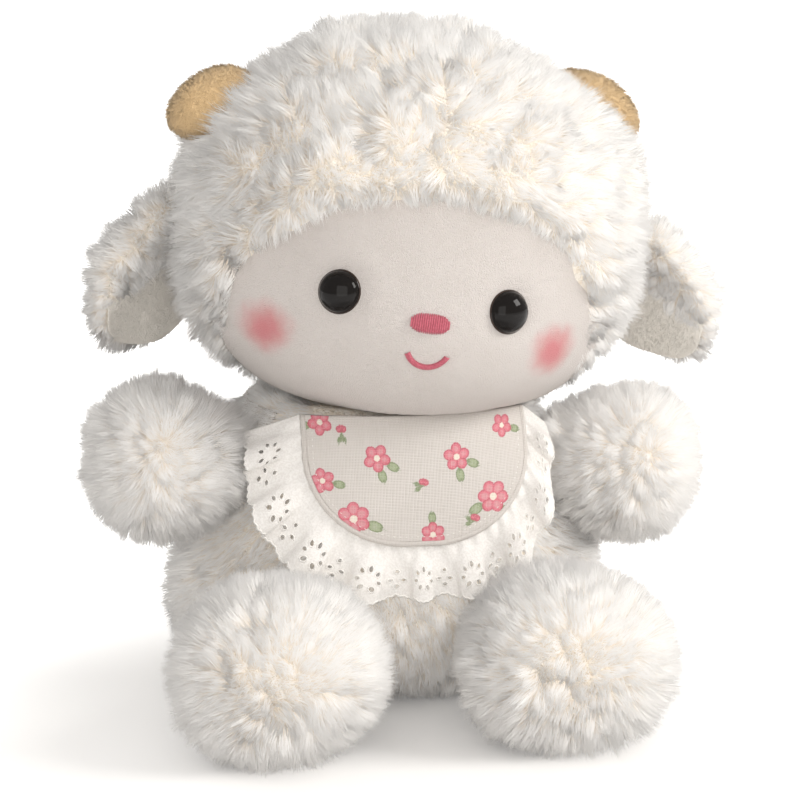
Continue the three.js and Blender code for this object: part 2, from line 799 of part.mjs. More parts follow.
function buildEar(group, side) {
  const word = side < 0 ? 'left' : 'right';
  const rootHeight = HEAD_RISE + EAR_ROOT_RISE;
  const rootReach = sectionAt(hoodForm, rootHeight).width - EAR_ROOT_INSET;
  const pivot = new THREE.Vector3(side * rootReach, EAR_ROOT_BACK_SHIFT, rootHeight);
  const base = new THREE.Group();
  base.position.copy(pivot);
  base.rotation.z = radians(side * EAR_TURN_DEGREES);
  group.add(base);
  const ear = new THREE.Group();
  const flare = side < 0 ? LEFT_EAR_FLARE_DEGREES : RIGHT_EAR_FLARE_DEGREES;
  ear.rotation.y = radians(side * (180 - flare));
  base.add(ear);
  base.updateMatrix();
  ear.updateMatrix();
  const frame = base.matrix.clone().multiply(ear.matrix);

  const form = {
    profile: rowProfile(EAR_SHARES),
    halfWidth: EAR_THICKNESS / 2,
    halfDepth: EAR_WIDTH / 2,
    height: EAR_LENGTH,
    base: 0,
    rings: 9,
    around: 16,
  };
  const cup = (grow) => {
    const ball = solidOf(new THREE.SphereGeometry(EAR_CUP_RADIUS + grow, BALL_SIDES, BALL_RINGS));
    const reach = side * (EAR_THICKNESS / 2 + EAR_CUP_RADIUS - EAR_CUP_DEPTH);
    return shifted(ball, reach, 0, EAR_LENGTH / 2);
  };
  const head = solidOf(stuffedForm(hoodForm, FLEX_GAP));
  const swing = (solid) => clearOfSwing(
    solid, frame, head, pivot, FRONT_AXIS.clone().multiplyScalar(-side), -EAR_SINK_DEGREES, EAR_LIFT_DEGREES,
  );
  const back = solidOf(stuffedForm(form)).subtract(cup(0));
  const layerOfCup = cup(-SEAM_GAP).subtract(cup(-SEAM_GAP - VELBOA_THICKNESS));
  const liningForm = {
    ...form,
    halfDepth: form.halfDepth - EAR_LINING_MARGIN,
    height: form.height - 2 * EAR_LINING_MARGIN,
    base: EAR_LINING_MARGIN,
  };
  const lining = solidOf(stuffedForm(liningForm)).intersect(layerOfCup);
  place(`${word}_ear_back`, swing(back), finishes.plush, ear);
  place(`${word}_ear_lining`, swing(lining), finishes.earCloth, ear);
}

// Arms and legs

function buildLimb(limb) {
  const { name, frame, group, form, innerForm, torso, pivot, axis, low, high } = limb;
  const cut = (solid) => clearOfSwing(solid, frame, torso, pivot, axis, low, high);
  const outer = solidOf(stuffedForm(form));
  const cover = outer.subtract(solidOf(stuffedForm(innerForm, -PLUSH_THICKNESS)));
  const filling = solidOf(stuffedForm(innerForm, -PLUSH_THICKNESS - SEAM_GAP));
  place(`${name}_cover`, limb.trim(cut(cover)), finishes.plush, group);
  place(`${name}_stuffing`, limb.trim(cut(filling)), finishes.filling, group);
}

function buildArm(group, torso, side) {
  const pivot = new THREE.Vector3(side * SHOULDER_HALF_SPAN, -SHOULDER_FORWARD, NECK_HEIGHT - SHOULDER_DROP);
  const shoulder = new THREE.Group();
  shoulder.position.copy(pivot);
  const forwardTurn = side < 0 ? LEFT_ARM_FORWARD_TURN_DEGREES : RIGHT_ARM_FORWARD_TURN_DEGREES;
  shoulder.rotation.z = radians(-side * forwardTurn);
  group.add(shoulder);
  const arm = new THREE.Group();
  const drop = side < 0 ? LEFT_ARM_DROP_DEGREES : RIGHT_ARM_DROP_DEGREES;
  arm.rotation.y = radians(side * (90 + drop));
  shoulder.add(arm);
  arm.updateMatrix();
  shoulder.updateMatrix();
  const form = {
    profile: rowProfile(ARM_SHARES),
    halfWidth: ARM_RADIUS,
    halfDepth: ARM_RADIUS,
    height: ARM_LENGTH,
    base: 0,
    rings: 9,
    around: 16,
  };
  buildLimb({
    name: side < 0 ? 'left_arm' : 'right_arm',
    frame: shoulder.matrix.clone().multiply(arm.matrix),
    group: arm,
    form,
    innerForm: { ...form, rings: 7, around: 10 },
    torso,
    pivot,
    axis: FRONT_AXIS.clone().multiplyScalar(-side),
    low: -ARM_SINK_DEGREES,
    high: ARM_LIFT_DEGREES,
    trim: (solid) => solid,
  });
}

function buildLeg(group, torso, side) {
  const pivot = new THREE.Vector3(side * HIP_HALF_SPAN, -HIP_FORWARD, LEG_HALF_HEIGHT - SEAT_FLAT);
  const hip = new THREE.Group();
  hip.position.copy(pivot);
  hip.rotation.z = radians(side * (side < 0 ? LEFT_LEG_TURN_DEGREES : RIGHT_LEG_TURN_DEGREES));
  group.add(hip);
  const leg = new THREE.Group();
  leg.rotation.x = Math.PI / 2;
  hip.add(leg);
  leg.updateMatrix();
  hip.updateMatrix();
  const frame = hip.matrix.clone().multiply(leg.matrix);
  const form = {
    profile: rowProfile(LEG_SHARES),
    halfWidth: LEG_HALF_WIDTH,
    halfDepth: LEG_HALF_HEIGHT,
    height: LEG_LENGTH,
    base: 0,
    rings: 10,
    around: 18,
  };
  const aboveFloor = moved(layer(0, NECK_HEIGHT), frame.clone().invert());
  buildLimb({
    name: side < 0 ? 'left_leg' : 'right_leg',
    frame,
    group: leg,
    form,
    innerForm: { ...form, rings: 7, around: 10 },
    torso,
    pivot,
    axis: UP.clone().multiplyScalar(side),
    low: -LEG_CLOSE_DEGREES,
    high: LEG_SPLAY_DEGREES,
    trim: (solid) => solid.intersect(aboveFloor),
  });
}

// Bib

const BIB_TOP = NECK_HEIGHT - FLEX_GAP - SEAM_GAP;
const BIB_BOTTOM = BIB_TOP - BIB_DROP;

// The bib's own surface in front of the torso, at a distance outside it.
function bibPoint(x, height, out) {
  const section = sectionAt(torsoForm, height);
  const share = (BIB_TOP - height) / (BIB_TOP - BIB_BOTTOM);
  const spread = THREE.MathUtils.lerp(BIB_TOP_SPREAD_SHARE, BIB_BOTTOM_SPREAD_SHARE, Math.min(share, 1));
  const across = (BIB_SIDE_SHIFT + x) / (section.width * spread + out);
  const front = (section.depth + BIB_STAND_OFF + out) * Math.sqrt(Math.max(0, 1 - across * across));
  return new THREE.Vector3(BIB_SIDE_SHIFT + x, TORSO_BACK_SHIFT - front, height);
}

// A sheet with a front and a back, from a grid of rows and columns.
// pointAt takes a share across, a share down and 0 for the back or 1 for the front.
function sheet(pointAt, columns, rows) {
  const points = [];
  for (const face of [0, 1]) {
    for (let i = 0; i <= rows; i++) {
      for (let j = 0; j <= columns; j++) {
        points.push(pointAt(j / columns, i / rows, face));
      }
    }
  }
  const index = (face, i, j) => (face * (rows + 1) + i) * (columns + 1) + j;
  const faces = [];
  const quad = (a, b, c, d) => faces.push([a, b, c], [a, c, d]);
  for (let i = 0; i < rows; i++) {
    for (let j = 0; j < columns; j++) {
      quad(index(0, i, j), index(0, i, j + 1), index(0, i + 1, j + 1), index(0, i + 1, j));
      quad(index(1, i, j), index(1, i + 1, j), index(1, i + 1, j + 1), index(1, i, j + 1));
    }
    quad(index(0, i, 0), index(0, i + 1, 0), index(1, i + 1, 0), index(1, i, 0));
    quad(index(0, i + 1, columns), index(0, i, columns), index(1, i, columns), index(1, i + 1, columns));
  }
  for (let j = 0; j < columns; j++) {
    quad(index(0, 0, j + 1), index(0, 0, j), index(1, 0, j), index(1, 0, j + 1));
    quad(index(0, rows, j), index(0, rows, j + 1), index(1, rows, j + 1), index(1, rows, j));
  }
  const geometry = new THREE.BufferGeometry().setFromPoints(points);
  geometry.setIndex(faces.flat());
  return solidOf(geometry);
}

// The bib's outline: straight sides, then a round corner on each side and a flat bottom.
const BIB_SIDE = BIB_TOP - BIB_BOTTOM - BIB_CORNER_HEIGHT;
const BIB_ARC = ((BIB_CORNER_WIDTH + BIB_CORNER_HEIGHT) * Math.PI) / 4;
const BIB_FLAT = 2 * (BIB_HALF_WIDTH - BIB_CORNER_WIDTH);
const BIB_EDGE = 2 * (BIB_SIDE + BIB_ARC) + BIB_FLAT;

// A place on the outline, at a length from the top and moved out by a distance.
function bibSide(along, out) {
  if (along < BIB_SIDE) {
    return { x: BIB_HALF_WIDTH + out, height: BIB_TOP - along };
  }
  const angle = Math.min(((along - BIB_SIDE) / BIB_ARC) * (Math.PI / 2), Math.PI / 2);
  const rest = Math.max(0, along - BIB_SIDE - BIB_ARC);
  return {
    x: BIB_FLAT / 2 + (BIB_CORNER_WIDTH + out) * Math.cos(angle) - rest,
    height: BIB_BOTTOM + BIB_CORNER_HEIGHT - (BIB_CORNER_HEIGHT + out) * Math.sin(angle),
  };
}

function bibPanel(low) {
  return sheet((across, down, face) => {
    const row = bibSide(down * (BIB_SIDE + BIB_ARC), 0);
    return bibPoint(row.x * (2 * across - 1), row.height, low + face * LINEN_THICKNESS);
  }, 10, 8);
}

// The outline as one path from the left top corner round the bottom to the right one.
function bibEdge(share, out) {
  const along = share * BIB_EDGE;
  if (share > 1 / 2) {
    return bibSide(BIB_EDGE - along, out);
  }
  const edge = bibSide(along, out);
  return { x: -edge.x, height: edge.height };
}

function bibBinding() {
  const steps = 22;
  const middle = SEAM_GAP + LINEN_THICKNESS;
  const points = [];
  for (let i = 0; i <= steps; i++) {
    const edge = bibEdge(i / steps, SEAM_GAP + BINDING_RADIUS);
    points.push(bibPoint(edge.x, edge.height, middle));
  }
  const section = new THREE.Shape();
  section.absarc(0, 0, BINDING_RADIUS, 0, 2 * Math.PI);
  return solidOf(new THREE.ExtrudeGeometry(section, {
    steps,
    curveSegments: 3,
    extrudePath: new THREE.CatmullRomCurve3(points),
  }));
}

// The gathered lace, which flares less at the sides because it hangs there.
function bibLace() {
  const start = 2 * (SEAM_GAP + BINDING_RADIUS);
  const folds = Math.round(BIB_EDGE / LACE_FOLD_PITCH);
  return sheet((along, down, face) => {
    const root = bibEdge(along, start);
    const edge = bibEdge(along, start + down * LACE_WIDTH);
    const flare = edge.x - root.x;
    const x = root.x + flare * (flare < 0 ? LEFT_LACE_FLARE_SHARE : RIGHT_LACE_FLARE_SHARE);
    const height = edge.height - Math.abs(flare) * LACE_HANG_SHARE;
    const wave = (1 - Math.cos(2 * Math.PI * folds * along)) / 2;
    const out = SEAM_GAP + down * wave * LACE_FOLD_DEPTH + face * LACE_THICKNESS;
    return bibPoint(x, height, out);
  }, 4 * folds, 2);
}

// Neck strap

// The strap's layer round the torso, at a distance outside it, between two planes across.
function strapLayer(low, high, left, right) {
  const top = BIB_TOP - STRAP_DROP;
  const ring = torsoSolid(high).subtract(torsoSolid(low));
  return ring.intersect(boxBetween(
    new THREE.Vector3(left, -CUT_REACH, top - STRAP_WIDTH),
    new THREE.Vector3(right, CUT_REACH, top),
  ));
}

// The room round the torso that the strap needs when an arm moves past it.
function strapRoom() {
  const top = BIB_TOP - STRAP_DROP;
  const ring = torsoSolid(SEAM_GAP + STRAP_THICKNESS + FLEX_GAP);
  return ring.intersect(layer(top - STRAP_WIDTH - FLEX_GAP, NECK_HEIGHT));
}

function buildStrap(group) {
  const low = SEAM_GAP;
  const high = low + STRAP_THICKNESS;
  const between = SNAP_THICKNESS + 2 * SEAM_GAP;
  const outerLow = high + between;
  const outerHigh = outerLow + STRAP_THICKNESS;
  const end = STRAP_OVERLAP;
  const frontGap = BIB_HALF_WIDTH * BIB_BOTTOM_SPREAD_SHARE;
  const front = boxBetween(
    new THREE.Vector3(-frontGap / 2, -CUT_REACH, 0),
    new THREE.Vector3(frontGap / 2, 0, NECK_HEIGHT),
  );
  const left = strapLayer(low, high, -CUT_REACH, end).subtract(front);
  const inner = strapLayer(low, high, end + SEAM_GAP, CUT_REACH);
  const step = strapLayer(low, outerHigh, end + SEAM_GAP, end + SEAM_GAP + STRAP_THICKNESS);
  const outer = strapLayer(outerLow, outerHigh, -end, end + SEAM_GAP + STRAP_THICKNESS);
  const behind = boxBetween(
    new THREE.Vector3(-CUT_REACH, TORSO_BACK_SHIFT, 0),
    new THREE.Vector3(CUT_REACH, CUT_REACH, NECK_HEIGHT),
  );
  const right = inner.add(step.add(outer).intersect(behind)).subtract(front);
  const middle = BIB_TOP - STRAP_DROP - STRAP_WIDTH / 2;
  const button = new THREE.CylinderGeometry(SNAP_RADIUS, SNAP_RADIUS, CUT_REACH, ROUND_SIDES);
  const snap = torsoSolid(outerLow - SEAM_GAP).subtract(torsoSolid(high + SEAM_GAP));
  place('bib_strap_left', left, finishes.linen, group);
  place('bib_strap_right', right, finishes.linen, group);
  const buttonRod = shifted(solidOf(button), 0, CUT_REACH / 2, middle);
  place('bib_snap', snap.intersect(buttonRod), finishes.snapPlastic, group);
}

function buildBib(group) {
  const liningLow = 0;
  const frontLow = liningLow + LINEN_THICKNESS + SEAM_GAP;
  place('bib_lining', bibPanel(liningLow), finishes.linen, group);
  place('bib_front', bibPanel(frontLow), finishes.linen, group);
  place('bib_binding', bibBinding(), finishes.linen, group);
  place('bib_lace', bibLace(), finishes.lace, group);
}

const group = new THREE.Group();
const torsoGroup = new THREE.Group();
const headGroup = new THREE.Group();
group.add(torsoGroup, headGroup);
buildTorso(torsoGroup);
const swollenTorso = torsoSolid(FLEX_GAP).add(strapRoom());
buildBib(torsoGroup);
buildStrap(torsoGroup);
buildHead(headGroup);
for (const side of [-1, 1]) {
  buildHorn(headGroup, side);
  buildEar(headGroup, side);
  buildArm(group, swollenTorso, side);
  buildLeg(group, swollenTorso, side);
}

export default group;
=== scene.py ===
"""A seated plush sheep: pile cloth, short nap, printed linen, eyelet lace and stitching on its frame."""

import logging
import math
from collections.abc import Callable
from dataclasses import dataclass
from enum import Enum

import bmesh
import bpy
import numpy as np
from mathutils import Matrix, Vector
from mathutils.kdtree import KDTree

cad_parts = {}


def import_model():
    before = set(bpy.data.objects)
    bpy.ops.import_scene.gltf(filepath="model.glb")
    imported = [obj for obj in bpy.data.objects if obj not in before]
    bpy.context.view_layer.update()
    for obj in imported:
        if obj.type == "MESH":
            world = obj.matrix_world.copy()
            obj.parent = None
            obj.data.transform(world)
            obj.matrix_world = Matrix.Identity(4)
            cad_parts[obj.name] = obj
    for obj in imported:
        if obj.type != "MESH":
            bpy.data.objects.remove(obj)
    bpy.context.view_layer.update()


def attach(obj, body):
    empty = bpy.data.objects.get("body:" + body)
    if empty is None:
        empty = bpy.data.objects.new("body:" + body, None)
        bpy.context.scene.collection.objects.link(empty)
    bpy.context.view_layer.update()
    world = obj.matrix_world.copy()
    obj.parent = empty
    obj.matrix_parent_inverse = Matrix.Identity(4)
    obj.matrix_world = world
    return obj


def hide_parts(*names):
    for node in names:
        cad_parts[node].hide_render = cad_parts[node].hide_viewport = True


LOG = logging.getLogger("sheep")
MM = 0.001
SEED = 41
FLOOR_CLEARANCE = 0.25
NECK_PLANE = 105.0
SEAM_GAP = 0.4
FILLING_DEPTH = 9.0
DOWN = np.array([0.0, 0.0, -1.0])

Array = np.ndarray
Colour = tuple[float, float, float]
Shape = Callable[[Array, Array], Array]
Socket = bpy.types.NodeSocket


class Side(Enum):
    """A side of the sheep, seen from its front."""

    LEFT = -1
    RIGHT = 1

    @property
    def word(self) -> str:
        """The side's name in lower case."""
        return self.name.lower()


HORN_ROOTS = {Side.LEFT: (59.0, 33.5, 30.0), Side.RIGHT: (45.0, 41.5, 8.0)}  # across, up, degrees of turn


# Small sums on arrays of points


def unit(vectors: Array) -> Array:
    """Scale vectors to length one.

    Args:
        vectors: Vectors along the last axis.

    Returns:
        Array: The same directions with length one.
    """
    return vectors / np.maximum(np.linalg.norm(vectors, axis=-1, keepdims=True), 1e-9)


def ease(low: float, high: float, values: Array) -> Array:
    """Rise smoothly from 0 to 1 between two values.

    Args:
        low: Where the rise starts.
        high: Where the rise ends.
        values: Where to evaluate it.

    Returns:
        Array: The eased shares.
    """
    share = np.clip((values - low) / (high - low), 0.0, 1.0)
    return share * share * (3.0 - 2.0 * share)


def soft_min(first: Array, second: Array, blend: float) -> Array:
    """Join two distances with a rounded valley.

    Args:
        first: The first distances.
        second: The second distances.
        blend: How wide the rounding is.

    Returns:
        Array: The lower of both, rounded where they meet.
    """
    share = np.clip(0.5 + 0.5 * (second - first) / blend, 0.0, 1.0)
    return second * (1.0 - share) + first * share - blend * share * (1.0 - share)


def moved(points: Array, matrix: Matrix) -> Array:
    """Carry points by a matrix.

    Args:
        points: Points along the last axis.
        matrix: A 4 by 4 placing.

    Returns:
        Array: The carried points.
    """
    grid = np.array(matrix)
    return points @ grid[:3, :3].T + grid[:3, 3]


def turned(vectors: Array, matrix: Matrix) -> Array:
    """Turn directions by a matrix, without its shift.

    Args:
        vectors: Directions along the last axis.
        matrix: A 4 by 4 placing.

    Returns:
        Array: The turned directions.
    """
    return vectors @ np.array(matrix)[:3, :3].T


def along(vectors: Array, normals: Array) -> Array:
    """The part of each vector that lies in the surface, at length one.

    Args:
        vectors: Directions to lay on the surface.
        normals: The surface's normals.

    Returns:
        Array: Directions in the surface.
    """
    flat = vectors - normals * np.sum(vectors * normals, axis=-1, keepdims=True)
    return unit(flat)


def along_and_across(offsets: Array, turn: float) -> tuple[Array, Array]:
    """Measure offsets in a plane along a direction and across it.

    Args:
        offsets: Offsets in the plane.
        turn: The direction, in radians.

    Returns:
        tuple[Array, Array]: The lengths along and across.
    """
    way = np.array([math.cos(turn), math.sin(turn)])
    return offsets @ way, offsets @ np.array([-way[1], way[0]])


class Ripple:
    """Smooth random vectors over space, the same on each run."""

    SIZE = 24

    def __init__(self, seed: int, cell: float) -> None:
        """Fill the lattice.

        Args:
            seed: Which pattern it is.
            cell: The distance between two lattice points, in millimetres.
        """
        self.cell = cell
        self.lattice = np.random.default_rng(seed).uniform(-1, 1, (self.SIZE,) * 3 + (3,))

    def at(self, points: Array) -> Array:
        """Read the pattern.

        Args:
            points: Places in millimetres.

        Returns:
            Array: A vector for each place.
        """
        scaled = points / self.cell
        low = np.floor(scaled).astype(int)
        part = scaled - low
        part = part * part * (3.0 - 2.0 * part)
        total = np.zeros(points.shape)
        for corner in range(8):
            step = np.array([corner & 1, (corner >> 1) & 1, corner >> 2])
            index = (low + step) % self.SIZE
            weight = np.prod(np.where(step == 1, part, 1.0 - part), axis=-1, keepdims=True)
            total += weight * self.lattice[index[..., 0], index[..., 1], index[..., 2]]
        return total


# Stuffed forms


def curve_through(rows: Array, shares: Array) -> Array:
    """Evaluate a centripetal curve through rows of shares.

    Args:
        rows: The rows that the curve passes through.
        shares: Places along the curve from 0 to 1.

    Returns:
        Array: A row for each place.
    """
    count = len(rows) - 1
    place = np.clip(shares, 0.0, 1.0) * count
    index = np.minimum(place.astype(int), count - 1)
    part = (place - index)[:, None]
    ends = np.vstack([2 * rows[0] - rows[1], rows, 2 * rows[-1] - rows[-2]])
    p0, p1, p2, p3 = (ends[index + step] for step in range(4))

    def gap(first: Array, second: Array) -> Array:
        """The centripetal distance between two rows."""
        return np.maximum(np.sum((second - first) ** 2, axis=-1) ** 0.25, 1e-4)[:, None]

    d0, d1, d2 = gap(p0, p1), gap(p1, p2), gap(p2, p3)
    start = ((p1 - p0) / d0 - (p2 - p0) / (d0 + d1) + (p2 - p1) / d1) * d1
    end = ((p2 - p1) / d1 - (p3 - p1) / (d1 + d2) + (p3 - p2) / d2) * d1
    square, cube = part**2, part**3
    return (
        p1
        + start * part
        + (3 * (p2 - p1) - 2 * start - end) * square
        + (2 * (p1 - p2) + start + end) * cube
    )


@dataclass(frozen=True)
class StuffedForm:
    """A closed form on the Z axis, in millimetres, with an oval section that swells and tapers."""

    half_width: float
    half_depth: float
    base: float
    height: float
    rows: tuple[tuple[float, float, float], ...] = ()
    low_power: float = 2.0
    high_power: float = 2.0

    def profile(self, shares: Array) -> Array:
        """Shares of width, depth and height along the form.

        Args:
            shares: Places from the lower end, 0, to the upper end, 1.

        Returns:
            Array: A row of three shares for each place.
        """
        if self.rows:
            return curve_through(np.array(self.rows), shares)
        rise = -np.cos(np.pi * shares)
        power = np.where(rise < 0, self.low_power, self.high_power)
        radius = np.maximum(np.sin(np.pi * shares), 0.0) ** (2 / power)
        height = np.sign(rise) * np.abs(rise) ** (2 / power)
        return np.stack([radius, radius, (1 + height) / 2], axis=-1)

    def surface(self, shares: Array, angles: Array, grow: float = 0.0) -> Array:
        """Points on the form.

        Args:
            shares: Places along the form.
            angles: Angles round it, in radians.
            grow: How far outside the form, in millimetres.

        Returns:
            Array: A point for each pair.
        """
        row = self.profile(shares)
        return np.stack(
            [
                (self.half_width + grow) * row[:, 0] * np.cos(angles),
                (self.half_depth + grow) * row[:, 1] * np.sin(angles),
                self.base - grow + (self.height + 2 * grow) * row[:, 2],
            ],
            axis=-1,
        )

    def section(self, heights: Array) -> tuple[Array, Array]:
        """Half width and half depth at heights.

        Args:
            heights: Heights in millimetres.

        Returns:
            tuple[Array, Array]: The half widths and the half depths.
        """
        rows = self.profile(np.linspace(0, 1, 400))
        share = (heights - self.base) / self.height
        width = np.interp(share, rows[:, 2], rows[:, 0], left=0, right=0)
        depth = np.interp(share, rows[:, 2], rows[:, 1], left=0, right=0)
        return self.half_width * width, self.half_depth * depth

    def reach(self, points: Array, grow: float = 0.0) -> Array:
        """How far out points lie, where 1 is on the form.

        Args:
            points: Points in the form's own frame.
            grow: How far outside the form the 1 lies, in millimetres.

        Returns:
            Array: The shares, far above 1 past the ends.
        """
        width, depth = self.section(points[:, 2])
        across = points[:, 0] / np.maximum(width + grow, 0.1)
        deep = points[:, 1] / np.maximum(depth + grow, 0.1)
        return np.where(width > 0, np.hypot(across, deep), 9.0)


# Meshes and objects


def ball(segments: int, rings: int) -> bmesh.types.BMesh:
    """A round ball of radius one with its poles on Z.

    Args:
        segments: Faces round it.
        rings: Faces from pole to pole.

    Returns:
        bmesh.types.BMesh: The ball.
    """
    mesh = bmesh.new()
    bmesh.ops.create_uvsphere(mesh, u_segments=segments, v_segments=rings, radius=1.0)
    return mesh


def coordinates(mesh: bmesh.types.BMesh) -> Array:
    """Read a mesh's points as an array."""
    return np.array([vertex.co[:] for vertex in mesh.verts])


def set_coordinates(mesh: bmesh.types.BMesh, points: Array) -> None:
    """Write a mesh's points back from an array."""
    for vertex, point in zip(mesh.verts, points):
        vertex.co = point


def shaped_ball(segments: int, rings: int, shape: Shape) -> bmesh.types.BMesh:
    """A ball whose points are moved onto a form.

    Args:
        segments: Faces round it.
        rings: Faces from end to end.
        shape: Gives the point for a share along and an angle round.

    Returns:
        bmesh.types.BMesh: The shaped mesh.
    """
    mesh = ball(segments, rings)
    points = coordinates(mesh)
    shares = np.arccos(np.clip(-points[:, 2], -1, 1)) / np.pi
    angles = np.arctan2(points[:, 1], points[:, 0])
    set_coordinates(mesh, shape(shares, angles))
    return mesh


def turn_outwards(mesh: bmesh.types.BMesh) -> None:
    """Point a mesh's faces outwards, by its volume where it is closed.

    Args:
        mesh: The mesh, which is changed.
    """
    bmesh.ops.recalc_face_normals(mesh, faces=mesh.faces)
    closed = all(edge.is_manifold for edge in mesh.edges)
    if closed and mesh.calc_volume(signed=True) < 0:
        bmesh.ops.reverse_faces(mesh, faces=mesh.faces)


def finished(
    name: str,
    mesh: bmesh.types.BMesh,
    material: bpy.types.Material,
    outward: bool = True,
) -> bpy.types.Object:
    """Turn a mesh in millimetres into a smooth object in metres.

    Args:
        name: The piece's name.
        mesh: The mesh, which is freed.
        material: The piece's material.
        outward: Whether to recalculate the normals.

    Returns:
        bpy.types.Object: The linked object.
    """
    bmesh.ops.scale(mesh, vec=(MM, MM, MM), verts=mesh.verts)
    if outward:
        turn_outwards(mesh)
    for face in mesh.faces:
        face.smooth = True
    data = bpy.data.meshes.new(name)
    mesh.to_mesh(data)
    mesh.free()
    data.materials.append(material)
    piece = bpy.data.objects.new(name, data)
    bpy.context.scene.collection.objects.link(piece)
    return piece


def register(piece: bpy.types.Object, body: str, slot: str, *nodes: str) -> bpy.types.Object:
    """Tie a piece to its body and hide the solids that it stands for.

    Args:
        piece: The piece.
        body: The body that it rides on.
        slot: Not used.
        nodes: The solids that it replaces.

    Returns:
        bpy.types.Object: The same piece.
    """
    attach(piece, body)
    if nodes:
        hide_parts(*nodes)
    LOG.info("%s on %s, %d faces", piece.name, body, len(piece.data.polygons))
    return piece


def threads(
    name: str,
    paths: list[Array],
    radius: float,
    material: bpy.types.Material,
    taper: float = 1.0,
    sides: int = 2,
) -> bpy.types.Object:
    """Round threads along paths, made one mesh.

    Args:
        name: The piece's name.
        paths: The points of each thread, in millimetres.
        radius: The thread's radius in millimetres.
        material: The thread's material.
        taper: The radius at both ends, as a share.
        sides: A quarter of the sides round the thread.

    Returns:
        bpy.types.Object: The mesh object.
    """
    curve = bpy.data.curves.new(name, "CURVE")
    curve.dimensions = "3D"
    curve.bevel_depth = radius * MM
    curve.bevel_resolution = sides - 1
    curve.use_fill_caps = True
    for path in paths:
        spline = curve.splines.new("POLY")
        spline.points.add(len(path) - 1)
        for index, point in enumerate(path):
            spline.points[index].co = (*(point * MM), 1.0)
            if index in (0, len(path) - 1):
                spline.points[index].radius = taper
    holder = bpy.data.objects.new(name + "_path", curve)
    bpy.context.scene.collection.objects.link(holder)
    graph = bpy.context.evaluated_depsgraph_get()
    data = bpy.data.meshes.new_from_object(holder.evaluated_get(graph))
    bpy.data.objects.remove(holder)
    bpy.data.curves.remove(curve)
    mesh = bmesh.new()
    mesh.from_mesh(data)
    bpy.data.meshes.remove(data)
    bmesh.ops.remove_doubles(mesh, verts=mesh.verts, dist=radius * MM * 0.02)
    bmesh.ops.scale(mesh, vec=(1 / MM, 1 / MM, 1 / MM), verts=mesh.verts)
    return finished(name, mesh, material)


# Materials


